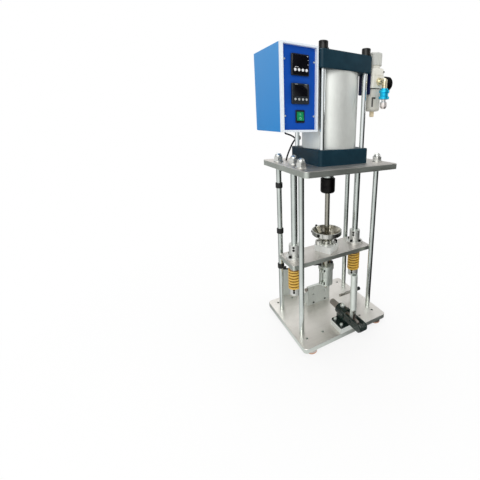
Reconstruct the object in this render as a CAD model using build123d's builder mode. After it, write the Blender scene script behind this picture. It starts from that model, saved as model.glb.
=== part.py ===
from build123d import *
from math import cos, radians, sin, sqrt, tan
import os

os.makedirs("parts", exist_ok=True)

# Fits
running_gap = 0.05
seat_gap = 0.3
part_gap = 0.5
cable_strap_gap = 0.2

# Base
base_length = 320
base_depth = 274
base_thickness = 15
plate_corner_radius = 12
plate_edge = 1
foot_diameter = 32
foot_height = 7
pad_height = 5
foot_inset_x = 32
foot_inset_y = 17
base_hole_diameter = 8.5
base_hole_outer_x = 132
base_hole_inner_x = 75
base_hole_front_y = -98
base_hole_rear_y = 110

# Frame
column_diameter = 16
column_length = 504
column_spacing_x = 270
column_spacing_y = 142
spigot_diameter = 12
spigot_depth = 12
upper_plate_length = 320
upper_plate_depth = 274
upper_plate_thickness = 16

# Acorn nuts
washer_diameter = 30
washer_thickness = 3
nut_across_flats = 24
nut_height = 12
nut_dome_height = 11
nut_bore_depth = 15

# Guide rods, collars and springs
guide_rod_diameter = 20
guide_rod_spacing = 240
guide_rod_length = 407
collar_diameter = 36
collar_slot = 2
upper_collar_height = 38.5
lower_collar_height = 23
collar_screw_diameter = 7
spring_outer_diameter = 43
spring_inner_diameter = 24

# Press cylinder
cap_width = 170
cap_height = 44
cap_corner_radius = 10
cap_edge = 2
cylinder_gap = 204
barrel_inset = 4
cylinder_wall = 6
tie_rod_diameter = 14
tie_rod_inset = 15
screw_washer_diameter = 28
screw_washer_thickness = 3
screw_head_diameter = 24
screw_head_height = 16
screw_socket_flats = 14
screw_socket_depth = 8
piston_thickness = 30
piston_top_gap = 5
piston_rod_diameter = 36

# Press coupling and plunger
coupling_diameter = 46
coupling_height = 50
coupling_drop = 33
coupling_round = 8
coupling_chamfer = 4
coupling_thread = 20
rod_stub_diameter = 24
plunger_diameter = 16
plunger_length = 168

# Carriage
carriage_top = 252
carriage_length = 302
carriage_depth = 100
carriage_thickness = 14
carriage_corner_radius = 6
bearing_body_diameter = 32
bearing_flange_diameter = 56
bearing_flange_thickness = 8
bearing_drop = 24
bearing_screw_circle = 43
bearing_screw_diameter = 9
bearing_screw_height = 5

# Injection unit
unit_turn = 28
block_width = 60
block_height = 22
bowl_height = 48
bowl_diameter = 98
bowl_rim_width = 4
bowl_rim_height = 13
bowl_rim_slope = 3
bowl_wall = 3
bowl_foot_diameter = 46
bowl_foot_height = 5
bowl_neck_height = 12
bowl_dish_radius = 31
bowl_dish_depth = 20
bowl_underside_radius = 37
bowl_underside_drop = 22
barrel_diameter = 28
barrel_rise = 26
barrel_drop = 115
nozzle_diameter = 16
nozzle_length = 15
nozzle_tip_diameter = 7
nozzle_hole_diameter = 4
nozzle_cone = 6
barrel_floor = 7
heater_diameter = 47
heater_top_gap = 41
heater_height = 72
heater_collar_diameter = 53
heater_collar_height = 13
heater_slit = 3
heater_ear_width = 14
heater_ear_height = 11
heater_ear_reach = 8
heater_ear_inset = 7
heater_slit_turn = 210
terminal_width = 9
terminal_depth = 7
terminal_height = 7
terminal_reach = 25
terminal_turns = (170, 355)

# Control box
box_width = 102
box_depth = 161
box_height = 204
box_bottom = 639
box_front = -66
box_wall = 2.5
box_corner_radius = 2
box_gap = 3
box_bracket_front_inset = 15
box_bracket_rear_inset = 5
box_bracket_bottom = 645
box_bracket_top = 835
bezel_depth = 12
bezel_wall = 5.5
panel_recess = 9
panel_thickness = 2
controller_size = 48
controller_reach = 5
controller_body = 44
controller_depth = 70
controller_corner_radius = 2
controller_window = 38
controller_window_depth = 1
controller_upper_z = 796
controller_lower_z = 730.5
controls_x = -137
switch_z = 677
switch_width = 25.5
switch_height = 31
switch_reach = 2.5
switch_corner_radius = 1.5
switch_body_width = 22
switch_body_height = 27
switch_body_depth = 19
switch_floor = 3
rocker_width = 19
rocker_height = 21.5
rocker_front = 5.5
rocker_back = 5
rocker_hollow = 1
rocker_tilt = 7
rocker_pin_diameter = 3
rocker_pivot_depth = 2
gland_diameter = 14
gland_neck_diameter = 9
gland_height = 3
gland_side_inset = 14
gland_rear_inset = 6

# Air unit
air_plate_thickness = 3
air_plate_width = 48
air_plate_inset = 10
air_plate_bottom = 741
air_plate_top = 823
regulator_width = 46
regulator_corner = 5
regulator_inset = 24
regulator_bottom = 759
regulator_height = 34
bonnet_height = 20
bonnet_corner = 12
bonnet_round = 8
neck_diameter = 33
neck_height = 7
spindle_diameter = 8
knob_diameter = 41
knob_height = 32.5
knob_cap_height = 6
knob_ribs = 24
knob_rib_depth = 1
knob_groove_width = 2
bowl_guard_diameter = 43
bowl_guard_height = 63
bowl_guard_round = 8
window_width = 5
window_height = 27
window_depth = 3
window_drop = 38
window_turn = -42
drain_diameter = 13
drain_height = 16
gauge_diameter = 40
gauge_depth = 25
gauge_stem_diameter = 12
gauge_stem_length = 10
gauge_rim = 3
gauge_dial_depth = 1.5
port_height = 17
elbow_diameter = 14
elbow_reach = 23
elbow_drop = 20
elbow_nut_flats = 19
elbow_nut_thickness = 7
coupler_diameter = 29
coupler_neck_diameter = 20
coupler_neck_length = 4
coupler_waist_diameter = 23
coupler_lip = 7
coupler_length = 29
plug_diameter = 12
plug_collar_diameter = 19
plug_collar_height = 11
plug_collar_drop = 8
plug_length = 25

# Base fixtures
mould_x = -3
mould_face_y = 37
mould_plate_width = 92
mould_plate_height = 73
mould_plate_thickness = 10
mould_foot_depth = 36
mould_foot_thickness = 10
mould_foot_hole_spacing = 50
mould_hole_inset = 10
mould_gusset = 8
mould_gusset_drop = 15
mould_hole_diameter = 7
mould_hole_spacing = 48
mould_hole_heights = (6.5, 40, 64)
side_post_width = 16
side_post_height = 45
side_post_x = 118
side_rod_y = -10
side_rod_height = 33
side_rod_diameter = 10
side_rod_length = 81
side_rod_nose_x = 55
side_knob_diameter = 13
side_knob_length = 12
rear_plate_width = 76
rear_plate_height = 125
rear_plate_thickness = 6
rear_plate_x = -65
riser_width = 60
riser_depth = 56
riser_height = 17

# Toggle clamp
clamp_flange_width = 58
clamp_flange_depth = 54
clamp_flange_thickness = 4
clamp_hole_spacing_x = 40
clamp_hole_spacing_y = 33
clamp_hole_diameter = 6.5
clamp_axis_rise = 32
sleeve_diameter = 34
sleeve_length = 40
sleeve_shift = 3
clamp_rod_diameter = 20
clamp_rod_nose_y = -42
clamp_rod_length = 86
clamp_nose_round = 6
cheek_gap = 21
cheek_thickness = 3.5
cheek_height = 24
cheek_overlap = 14
cheek_end_y = -193
cheek_web_thickness = 4
cheek_web_height = 14
pin_head = 1.5
lever_pivot_y = -156
lever_pin_diameter = 8
lever_width = 16
lever_wall = 2
lever_length = 152
lever_lean = 1.5
lever_round = 8
fork_depth = 11
fork_length = 56
handle_diameter = 20
handle_wall = 2
handle_start = 38
drive_pin_radius = 18
drive_pin_diameter = 6
clamp_push = 7.8
clamp_pull = 13
tail_thickness = 8
tail_height = 18
tail_end_y = -182
tail_root = 6
tail_slot_gap = 0.4
tail_wall = 3
yoke_slot_width = 8
yoke_wall = 3.5
yoke_rise = 6

# Cable
cable_hole_reach = 18
cable_hole_inset = 1
cable_hole_diameter = 9
cable_diameter = 5
strap_thickness = 1.5
strap_height = 17
strap_heights = (473, 322, 197)
cable_angle = 70
cable_low = 176

# Levels and places that follow
foot_x = base_length / 2 - foot_inset_x
foot_y = base_depth / 2 - foot_inset_y
base_bottom = foot_height + pad_height
base_top = base_bottom + base_thickness
upper_bottom = base_top + column_length
upper_top = upper_bottom + upper_plate_thickness
column_x = column_spacing_x / 2
column_y = column_spacing_y / 2
guide_x = guide_rod_spacing / 2
column_places = [(sx * column_x, sy * column_y) for sx in (-1, 1) for sy in (-1, 1)]
guide_places = [(-guide_x, 0), (guide_x, 0)]
nut_places = column_places + guide_places
spigot_top = upper_top + nut_bore_depth
cap_side = cap_width / 2
tie_rod_spacing = cap_width - 2 * tie_rod_inset
barrel_outer_diameter = cap_width - 2 * barrel_inset
barrel_bore = barrel_outer_diameter - 2 * cylinder_wall
lower_cap_top = upper_top + cap_height
upper_cap_bottom = lower_cap_top + cylinder_gap
upper_cap_top = upper_cap_bottom + cap_height
piston_top = upper_cap_bottom - piston_top_gap
coupling_top = upper_bottom - coupling_drop
coupling_bottom = coupling_top - coupling_height
carriage_bottom = carriage_top - carriage_thickness
upper_collar_bottom = carriage_top + bearing_flange_thickness + seat_gap
bearing_bottom = carriage_bottom - bearing_drop
guide_bottom = upper_bottom - guide_rod_length
lower_collar_bottom = guide_bottom + 2
lower_collar_top = lower_collar_bottom + lower_collar_height
block_top = carriage_top + block_height
box_right = -cap_side - box_gap
box_left = box_right - box_width
box_centre_x = box_right - box_width / 2
box_top = box_bottom + box_height
box_bracket_width = cap_width - box_bracket_front_inset - box_bracket_rear_inset
box_bracket_y = (box_bracket_front_inset - box_bracket_rear_inset) / 2
gland_x = box_right - gland_side_inset
gland_y = box_front + box_depth - gland_rear_inset
bezel_front = box_front - bezel_depth
panel_front = bezel_front + panel_recess
air_plate_front = -cap_side + air_plate_inset
regulator_x = cap_side + air_plate_thickness + regulator_width / 2
regulator_y = -cap_side + regulator_inset
regulator_front = regulator_y - regulator_width / 2
regulator_top = regulator_bottom + regulator_height
port_z = regulator_bottom + port_height
knob_bottom = regulator_top + bonnet_height + neck_height
riser_top = base_top + riser_height
clamp_y = -base_depth / 2 + riser_depth / 2
clamp_axis_z = riser_top + clamp_flange_thickness + clamp_axis_rise
sleeve_front = clamp_y - sleeve_length / 2
side_rod_z = base_top + side_rod_height
cable_hole_x = -cap_side - cable_hole_reach
cable_hole_y = cap_side - cable_hole_inset

# Base plate
with BuildPart() as base_plate:
    with BuildSketch(Plane.XY.offset(base_bottom)):
        RectangleRounded(base_length, base_depth, plate_corner_radius)
    extrude(amount=base_thickness)
    chamfer(base_plate.faces().sort_by(Axis.Z)[-1].edges(), plate_edge)
    with BuildSketch(Plane.XY.offset(base_top)):
        with Locations(*column_places):
            Circle(spigot_diameter / 2)
    extrude(amount=-spigot_depth, mode=Mode.SUBTRACT)
    with BuildSketch(Plane.XY.offset(base_bottom)):
        for hole_x in (base_hole_outer_x, base_hole_inner_x):
            with Locations(
                (-hole_x, base_hole_front_y),
                (hole_x, base_hole_front_y),
                (-hole_x, base_hole_rear_y),
                (hole_x, base_hole_rear_y),
            ):
                Circle(base_hole_diameter / 2)
    extrude(amount=base_thickness, mode=Mode.SUBTRACT)
base_plate.part.label = "base_plate"

# Feet
with BuildPart() as feet:
    with BuildSketch(Plane.XY.offset(pad_height)):
        with GridLocations(2 * foot_x, 2 * foot_y, 2, 2):
            Circle(foot_diameter / 2)
    extrude(amount=foot_height)
feet.part.label = "feet"

# Foot pads
with BuildPart() as foot_pads:
    with BuildSketch():
        with GridLocations(2 * foot_x, 2 * foot_y, 2, 2):
            Circle(foot_diameter / 2)
    extrude(amount=pad_height)
foot_pads.part.label = "foot_pads"

# Corner columns with a turned spigot at each end
with BuildPart() as columns:
    with BuildSketch(Plane.XY.offset(base_top)):
        with Locations(*column_places):
            Circle(column_diameter / 2)
    extrude(amount=column_length)
    with BuildSketch(Plane.XY.offset(base_top - spigot_depth)):
        with Locations(*column_places):
            Circle(spigot_diameter / 2)
    extrude(amount=spigot_top - base_top + spigot_depth)
columns.part.label = "columns"

# Guide rods hung from the upper plate
with BuildPart() as guide_rods:
    with BuildSketch(Plane.XY.offset(guide_bottom)):
        with Locations(*guide_places):
            Circle(guide_rod_diameter / 2)
    extrude(amount=guide_rod_length)
    chamfer(guide_rods.faces().sort_by(Axis.Z)[0:2].edges(), 1.5)
    with BuildSketch(Plane.XY.offset(upper_bottom)):
        with Locations(*guide_places):
            Circle(spigot_diameter / 2)
    extrude(amount=spigot_top - upper_bottom)
guide_rods.part.label = "guide_rods"

# Upper plate
with BuildPart() as upper_plate:
    with BuildSketch(Plane.XY.offset(upper_bottom)):
        RectangleRounded(upper_plate_length, upper_plate_depth, plate_corner_radius)
        with Locations(*nut_places):
            Circle(spigot_diameter / 2, mode=Mode.SUBTRACT)
        Circle(piston_rod_diameter / 2 + 2, mode=Mode.SUBTRACT)
        with Locations((cable_hole_x, cable_hole_y)):
            Circle(cable_hole_diameter / 2, mode=Mode.SUBTRACT)
    extrude(amount=upper_plate_thickness)
    chamfer(upper_plate.faces().sort_by(Axis.Z)[-1].outer_wire().edges(), plate_edge)
upper_plate.part.label = "upper_plate"

# Acorn nuts, each on its washer
with BuildPart() as acorn_nuts:
    with BuildSketch(Plane.XY.offset(upper_top)):
        with Locations(*nut_places):
            Circle(washer_diameter / 2)
    extrude(amount=washer_thickness)
    with BuildSketch(Plane.XY.offset(upper_top + washer_thickness)):
        with Locations(*nut_places):
            RegularPolygon(nut_across_flats / 2, 6, major_radius=False)
    extrude(amount=nut_height)
    with BuildSketch(Plane.XY.offset(upper_top + washer_thickness + nut_height)):
        with Locations(*nut_places):
            Circle(nut_across_flats / 2 - 1.5)
    extrude(amount=nut_dome_height)
    fillet(acorn_nuts.faces().sort_by(Axis.Z)[-6:].edges(), nut_dome_height - 1.5)
    with BuildSketch(Plane.XY.offset(upper_top)):
        with Locations(*nut_places):
            Circle(spigot_diameter / 2)
    extrude(amount=nut_bore_depth, mode=Mode.SUBTRACT)
acorn_nuts.part.label = "acorn_nuts"

# Upper and lower shaft collars, split at the back and clamped by two screws each
with BuildPart() as rod_collars:
    for collar_bottom, collar_height in (
        (upper_collar_bottom, upper_collar_height),
        (lower_collar_bottom, lower_collar_height),
    ):
        with BuildSketch(Plane.XY.offset(collar_bottom)):
            with Locations(*guide_places):
                Circle(collar_diameter / 2)
                Circle(guide_rod_diameter / 2, mode=Mode.SUBTRACT)
        extrude(amount=collar_height)
        with BuildSketch(Plane.XY.offset(collar_bottom)):
            with Locations(*guide_places):
                Rectangle(collar_slot, collar_diameter, align=(Align.CENTER, Align.MIN))
        extrude(amount=collar_height, mode=Mode.SUBTRACT)
rod_collars.part.label = "rod_collars"

# Die springs between the lower collars and the bearings
with BuildPart() as die_springs:
    with BuildSketch(Plane.XY.offset(lower_collar_top + seat_gap)):
        with Locations(*guide_places):
            Circle(spring_outer_diameter / 2)
            Circle(spring_inner_diameter / 2, mode=Mode.SUBTRACT)
    extrude(amount=bearing_bottom - lower_collar_top - 2 * seat_gap)
die_springs.part.label = "die_springs"

# Lower cap of the press cylinder
with BuildPart() as cylinder_lower_cap:
    with BuildSketch(Plane.XY.offset(upper_top)):
        RectangleRounded(cap_width, cap_width, cap_corner_radius)
    extrude(amount=cap_height)
    chamfer(cylinder_lower_cap.faces().sort_by(Axis.Z)[-1].edges(), cap_edge)
    with BuildSketch(Plane.XY.offset(upper_top)):
        Circle(piston_rod_diameter / 2 + running_gap)
    extrude(amount=cap_height, mode=Mode.SUBTRACT)
    with BuildSketch(Plane.XY.offset(lower_cap_top)):
        with GridLocations(tie_rod_spacing, tie_rod_spacing, 2, 2):
            Circle(tie_rod_diameter / 2)
    extrude(amount=-cap_height / 2, mode=Mode.SUBTRACT)
cylinder_lower_cap.part.label = "cylinder_lower_cap"

# Upper cap of the press cylinder
with BuildPart() as cylinder_upper_cap:
    with BuildSketch(Plane.XY.offset(upper_cap_bottom)):
        RectangleRounded(cap_width, cap_width, cap_corner_radius)
    extrude(amount=cap_height)
    chamfer(cylinder_upper_cap.faces().sort_by(Axis.Z)[-1].edges(), cap_edge)
    chamfer(cylinder_upper_cap.faces().sort_by(Axis.Z)[0].edges(), cap_edge)
    with BuildSketch(Plane.XY.offset(upper_cap_bottom)):
        with GridLocations(tie_rod_spacing, tie_rod_spacing, 2, 2):
            Circle(tie_rod_diameter / 2)
    extrude(amount=cap_height, mode=Mode.SUBTRACT)
cylinder_upper_cap.part.label = "cylinder_upper_cap"

# Cylinder barrel
with BuildPart() as cylinder_barrel:
    with BuildSketch(Plane.XY.offset(lower_cap_top)):
        Circle(barrel_outer_diameter / 2)
        Circle(barrel_bore / 2, mode=Mode.SUBTRACT)
    extrude(amount=cylinder_gap)
cylinder_barrel.part.label = "cylinder_barrel"

# Tie rods
with BuildPart() as tie_rods:
    with BuildSketch(Plane.XY.offset(lower_cap_top - cap_height / 2)):
        with GridLocations(tie_rod_spacing, tie_rod_spacing, 2, 2):
            Circle(tie_rod_diameter / 2)
    extrude(amount=upper_cap_top - lower_cap_top + cap_height / 2)
tie_rods.part.label = "tie_rods"

# Socket screws with washers on the upper cap
with BuildPart() as tie_rod_screws:
    with BuildSketch(Plane.XY.offset(upper_cap_top)):
        with GridLocations(tie_rod_spacing, tie_rod_spacing, 2, 2):
            Circle(screw_washer_diameter / 2)
    extrude(amount=screw_washer_thickness)
    with BuildSketch(Plane.XY.offset(upper_cap_top + screw_washer_thickness)):
        with GridLocations(tie_rod_spacing, tie_rod_spacing, 2, 2):
            Circle(screw_head_diameter / 2)
    extrude(amount=screw_head_height)
    chamfer(tie_rod_screws.faces().sort_by(Axis.Z)[-4:].edges(), 1.2)
    with BuildSketch(
        Plane.XY.offset(upper_cap_top + screw_washer_thickness + screw_head_height)
    ):
        with GridLocations(tie_rod_spacing, tie_rod_spacing, 2, 2):
            RegularPolygon(screw_socket_flats / 2, 6, major_radius=False)
    extrude(amount=-screw_socket_depth, mode=Mode.SUBTRACT)
tie_rod_screws.part.label = "tie_rod_screws"

# Piston rod with its piston and a reduced end for the coupling
with BuildPart() as piston_rod:
    with BuildSketch(Plane.XY.offset(coupling_top)):
        Circle(piston_rod_diameter / 2)
    extrude(amount=piston_top - piston_thickness - coupling_top)
    with BuildSketch(Plane.XY.offset(coupling_top)):
        Circle(rod_stub_diameter / 2)
    extrude(amount=-coupling_thread)
    with BuildSketch(Plane.XY.offset(piston_top)):
        Circle(barrel_bore / 2 - running_gap)
    extrude(amount=-piston_thickness)
    chamfer(piston_rod.faces().sort_by(Axis.Z)[-1].edges(), 1)
piston_rod.part.label = "piston_rod"

# Coupling between the piston rod and the plunger
with BuildPart() as rod_coupling:
    with BuildSketch(Plane.XY.offset(coupling_bottom)):
        Circle(coupling_diameter / 2)
    extrude(amount=coupling_height)
    chamfer(rod_coupling.faces().sort_by(Axis.Z)[-1].edges(), coupling_chamfer)
    fillet(rod_coupling.faces().sort_by(Axis.Z)[0].edges(), coupling_round)
    with BuildSketch(Plane.XY.offset(coupling_top)):
        Circle(rod_stub_diameter / 2)
    extrude(amount=-coupling_thread, mode=Mode.SUBTRACT)
    with BuildSketch(Plane.XY.offset(coupling_bottom)):
        Circle(plunger_diameter / 2)
    extrude(amount=coupling_thread, mode=Mode.SUBTRACT)
rod_coupling.part.label = "rod_coupling"

# Injection plunger
with BuildPart() as plunger:
    with BuildSketch(Plane.XY.offset(coupling_bottom + coupling_thread)):
        Circle(plunger_diameter / 2)
    extrude(amount=-plunger_length)
    chamfer(plunger.faces().sort_by(Axis.Z)[0].edges(), 1)
plunger.part.label = "plunger"

# Carriage plate that rides on the guide rods
with BuildPart() as carriage_plate:
    with BuildSketch(Plane.XY.offset(carriage_bottom)):
        RectangleRounded(carriage_length, carriage_depth, carriage_corner_radius)
        with Locations(*guide_places):
            Circle(bearing_body_diameter / 2, mode=Mode.SUBTRACT)
        Circle(barrel_diameter / 2, mode=Mode.SUBTRACT)
    extrude(amount=carriage_thickness)
    chamfer(carriage_plate.faces().sort_by(Axis.Z)[-1].outer_wire().edges(), 0.8)
carriage_plate.part.label = "carriage_plate"

# Flanged linear bearings in the carriage plate
with BuildPart() as linear_bearings:
    with BuildSketch(Plane.XY.offset(bearing_bottom)):
        with Locations(*guide_places):
            Circle(bearing_body_diameter / 2)
    extrude(amount=carriage_top - bearing_bottom)
    with BuildSketch(Plane.XY.offset(carriage_top)):
        with Locations(*guide_places):
            Circle(bearing_flange_diameter / 2)
    extrude(amount=bearing_flange_thickness)
    chamfer(linear_bearings.faces().sort_by(Axis.Z)[-2:].edges(), 0.6)
    with BuildSketch(Plane.XY.offset(bearing_bottom)):
        with Locations(*guide_places):
            Circle(guide_rod_diameter / 2 + running_gap)
    extrude(amount=bearing_drop + carriage_thickness + bearing_flange_thickness, mode=Mode.SUBTRACT)
linear_bearings.part.label = "linear_bearings"

# Clamp block that grips the injection barrel
block_plane = Plane.XY.offset(carriage_top).rotated((0, 0, unit_turn))
with BuildPart() as clamp_block:
    with BuildSketch(block_plane):
        Rectangle(block_width, block_width)
    extrude(amount=block_height)
    chamfer(clamp_block.edges().filter_by(Axis.Z), 1)
    with BuildSketch(block_plane):
        Circle(barrel_diameter / 2)
    extrude(amount=block_height, mode=Mode.SUBTRACT)
clamp_block.part.label = "clamp_block"

# Hopper bowl on the block
bowl_top = block_top + bowl_height
bowl_inner_radius = bowl_diameter / 2 - bowl_rim_width
bowl_neck_top = block_top + bowl_neck_height
bowl_neck_radius = barrel_diameter / 2 + bowl_wall
with BuildPart() as hopper_bowl:
    with BuildSketch(Plane.XZ):
        with BuildLine():
            Polyline(
                (barrel_diameter / 2, block_top),
                (bowl_foot_diameter / 2, block_top),
                (bowl_foot_diameter / 2, block_top + bowl_foot_height),
                (bowl_neck_radius, block_top + bowl_foot_height),
                (bowl_neck_radius, bowl_neck_top),
                (bowl_underside_radius, bowl_top - bowl_underside_drop),
                (bowl_diameter / 2 - bowl_rim_slope, bowl_top - bowl_rim_height - bowl_rim_slope),
                (bowl_diameter / 2, bowl_top - bowl_rim_height),
                (bowl_diameter / 2, bowl_top),
                (bowl_inner_radius, bowl_top),
                (bowl_dish_radius, bowl_top - bowl_dish_depth),
                (barrel_diameter / 2, bowl_neck_top + bowl_wall),
                close=True,
            )
        make_face()
    revolve(axis=Axis.Z)
hopper_bowl.part.label = "hopper_bowl"

# Injection barrel with its nozzle
barrel_top = bowl_neck_top + bowl_wall - 1
barrel_bottom = carriage_bottom - barrel_drop
nozzle_bottom = barrel_bottom - nozzle_length
with BuildPart() as barrel:
    with BuildSketch(Plane.XY.offset(barrel_bottom)):
        Circle(barrel_diameter / 2)
    extrude(amount=barrel_top - barrel_bottom)
    chamfer(barrel.faces().sort_by(Axis.Z)[0].edges(), 2)
    with BuildSketch(Plane.XZ):
        with BuildLine():
            Polyline(
                (0, barrel_bottom),
                (nozzle_diameter / 2, barrel_bottom),
                (nozzle_diameter / 2, nozzle_bottom + nozzle_cone),
                (nozzle_tip_diameter / 2, nozzle_bottom),
                (0, nozzle_bottom),
                close=True,
            )
        make_face()
    revolve(axis=Axis.Z)
    with BuildSketch(Plane.XY.offset(barrel_top)):
        Circle(plunger_diameter / 2 + running_gap)
    extrude(amount=-(barrel_top - barrel_bottom - barrel_floor), mode=Mode.SUBTRACT)
    with BuildSketch(Plane.XY.offset(nozzle_bottom)):
        Circle(nozzle_hole_diameter / 2)
    extrude(amount=barrel_floor + nozzle_length, mode=Mode.SUBTRACT)
barrel.part.label = "barrel"

# Clamp-on heater band with its two clamping ears
heater_top = carriage_bottom - heater_top_gap
heater_bottom = heater_top - heater_height
heater_plane = Plane.XY.offset(heater_bottom).rotated((0, 0, heater_slit_turn))
ear_reach = heater_diameter / 2 + heater_ear_reach
with BuildPart() as heater_band:
    with BuildSketch(heater_plane):
        Circle(heater_diameter / 2)
    extrude(amount=heater_height)
    with BuildSketch(heater_plane.offset(heater_height - heater_collar_height)):
        Circle(heater_collar_diameter / 2)
    extrude(amount=heater_collar_height)
    for ear_level in (heater_ear_inset, heater_height - heater_ear_inset - heater_ear_height):
        with BuildSketch(heater_plane.offset(ear_level)):
            with Locations((ear_reach - heater_ear_reach - 2, 0)):
                Rectangle(heater_ear_reach + 2, heater_ear_width, align=(Align.MIN, Align.CENTER))
        extrude(amount=heater_ear_height)
    with BuildSketch(heater_plane):
        with Locations((ear_reach / 2, 0)):
            Rectangle(ear_reach + 1, heater_slit)
        Circle(barrel_diameter / 2)
    extrude(amount=heater_height, mode=Mode.SUBTRACT)
heater_band.part.label = "heater_band"

# Terminal blocks on top of the heater band
with BuildPart() as heater_terminals:
    for terminal_turn in terminal_turns:
        with BuildSketch(Plane.XY.offset(heater_top).rotated((0, 0, terminal_turn))):
            with Locations((terminal_reach, 0)):
                Rectangle(terminal_depth, terminal_width, align=(Align.MAX, Align.CENTER))
        extrude(amount=terminal_height)
heater_terminals.part.label = "heater_terminals"

# Bracket that carries the control box on the upper cap
with BuildPart() as box_bracket:
    with BuildSketch(Plane.YZ.offset(box_right)):
        with Locations((box_bracket_y, (box_bracket_bottom + box_bracket_top) / 2)):
            RectangleRounded(box_bracket_width, box_bracket_top - box_bracket_bottom, 5)
    extrude(amount=box_gap)
box_bracket.part.label = "box_bracket"

# Sheet metal case of the control box, open at the front
box_centre_z = box_bottom + box_height / 2
with BuildPart() as control_box:
    with BuildSketch(Plane.XZ.offset(-box_front)):
        with Locations((box_centre_x, box_centre_z)):
            RectangleRounded(box_width, box_height, box_corner_radius)
    extrude(amount=-box_depth)
    with BuildSketch(Plane.XZ.offset(-box_front)):
        with Locations((box_centre_x, box_centre_z)):
            Rectangle(box_width - 2 * box_wall, box_height - 2 * box_wall)
    extrude(amount=-(box_depth - box_wall), mode=Mode.SUBTRACT)
    with BuildSketch(Plane.XY.offset(box_bottom)):
        with Locations((gland_x, gland_y)):
            Circle(gland_neck_diameter / 2)
    extrude(amount=box_wall, mode=Mode.SUBTRACT)
control_box.part.label = "control_box"

# White bezel with a lip in front of the panel
with BuildPart() as box_bezel:
    with BuildSketch(Plane.XZ.offset(-box_front)):
        with Locations((box_centre_x, box_centre_z)):
            RectangleRounded(box_width, box_height, box_corner_radius)
            Rectangle(box_width - 2 * box_wall, box_height - 2 * box_wall, mode=Mode.SUBTRACT)
    extrude(amount=bezel_depth - panel_recess)
    with BuildSketch(Plane.XZ.offset(-panel_front)):
        with Locations((box_centre_x, box_centre_z)):
            RectangleRounded(box_width, box_height, box_corner_radius)
            Rectangle(box_width - 2 * bezel_wall, box_height - 2 * bezel_wall, mode=Mode.SUBTRACT)
    extrude(amount=panel_recess)
    chamfer(box_bezel.faces().sort_by(Axis.Y)[0].outer_wire().edges(), 0.8)
box_bezel.part.label = "box_bezel"

# Recessed front panel
controller_places = [(controls_x, controller_upper_z), (controls_x, controller_lower_z)]
with BuildPart() as front_panel:
    with BuildSketch(Plane.XZ.offset(-panel_front)):
        with Locations((box_centre_x, box_centre_z)):
            Rectangle(box_width - 2 * box_wall, box_height - 2 * box_wall)
        with Locations(*controller_places):
            Rectangle(
                controller_body + 2 * seat_gap, controller_body + 2 * seat_gap, mode=Mode.SUBTRACT
            )
        with Locations((controls_x, switch_z)):
            Rectangle(
                switch_body_width + 2 * seat_gap,
                switch_body_height + 2 * seat_gap,
                mode=Mode.SUBTRACT,
            )
    extrude(amount=-panel_thickness)
front_panel.part.label = "front_panel"

# The two temperature controllers, each a front frame and a body behind the panel
with BuildPart() as temperature_controllers:
    with BuildSketch(Plane.XZ.offset(-panel_front)):
        with Locations(*controller_places):
            RectangleRounded(controller_size, controller_size, controller_corner_radius)
    extrude(amount=controller_reach)
    chamfer(temperature_controllers.faces().sort_by(Axis.Y)[0:2].edges(), 1)
    with BuildSketch(Plane.XZ.offset(-panel_front + controller_reach)):
        with Locations(*controller_places):
            Rectangle(controller_window, controller_window)
    extrude(amount=-controller_window_depth, mode=Mode.SUBTRACT)
    with BuildSketch(Plane.XZ.offset(-panel_front)):
        with Locations(*controller_places):
            Rectangle(controller_body, controller_body)
    extrude(amount=-controller_depth)
temperature_controllers.part.label = "temperature_controllers"

# Frame of the power switch
switch_opening_width = rocker_width + 2 * seat_gap
switch_opening_height = rocker_height + 2 * rocker_front * sin(radians(rocker_tilt)) + 2 * part_gap
pivot_y = panel_front + rocker_pivot_depth
with BuildPart() as switch_frame:
    with BuildSketch(Plane.XZ.offset(-panel_front)):
        with Locations((controls_x, switch_z)):
            RectangleRounded(switch_width, switch_height, switch_corner_radius)
    extrude(amount=switch_reach)
    chamfer(switch_frame.faces().sort_by(Axis.Y)[0].edges(), 0.6)
    with BuildSketch(Plane.XZ.offset(-panel_front)):
        with Locations((controls_x, switch_z)):
            Rectangle(switch_body_width, switch_body_height)
    extrude(amount=-switch_body_depth)
    with BuildSketch(Plane.XZ.offset(-panel_front + switch_reach)):
        with Locations((controls_x, switch_z)):
            Rectangle(switch_opening_width, switch_opening_height)
    extrude(amount=-(switch_reach + switch_body_depth - switch_floor), mode=Mode.SUBTRACT)
    with BuildSketch(Plane.YZ.offset(controls_x)):
        with Locations((pivot_y, switch_z)):
            Circle(rocker_pin_diameter / 2 + running_gap)
    extrude(amount=switch_body_width, both=True, mode=Mode.SUBTRACT)
switch_frame.part.label = "switch_frame"

# Rocker on its cross pin, pressed in at the top
rocker_plane = Plane(
    origin=(controls_x, pivot_y, switch_z),
    x_dir=(0, cos(radians(rocker_tilt)), -sin(radians(rocker_tilt))),
    z_dir=(1, 0, 0),
)
with BuildPart() as rocker_button:
    with BuildSketch(rocker_plane):
        with BuildLine():
            Polyline(
                (rocker_back, -rocker_height / 6),
                (rocker_back, rocker_height / 6),
                (rocker_back / 3, rocker_height * 0.42),
                (-rocker_front, rocker_height / 2),
            )
            ThreePointArc(
                (-rocker_front, rocker_height / 2),
                (-rocker_front + rocker_hollow, 0),
                (-rocker_front, -rocker_height / 2),
            )
            Polyline(
                (-rocker_front, -rocker_height / 2),
                (rocker_back / 3, -rocker_height * 0.42),
                (rocker_back, -rocker_height / 6),
            )
        make_face()
    extrude(amount=rocker_width / 2, both=True)
    with BuildSketch(rocker_plane):
        Circle(rocker_pin_diameter / 2)
    extrude(amount=switch_body_width / 2 - seat_gap, both=True)
rocker_button.part.label = "rocker_button"

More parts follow.
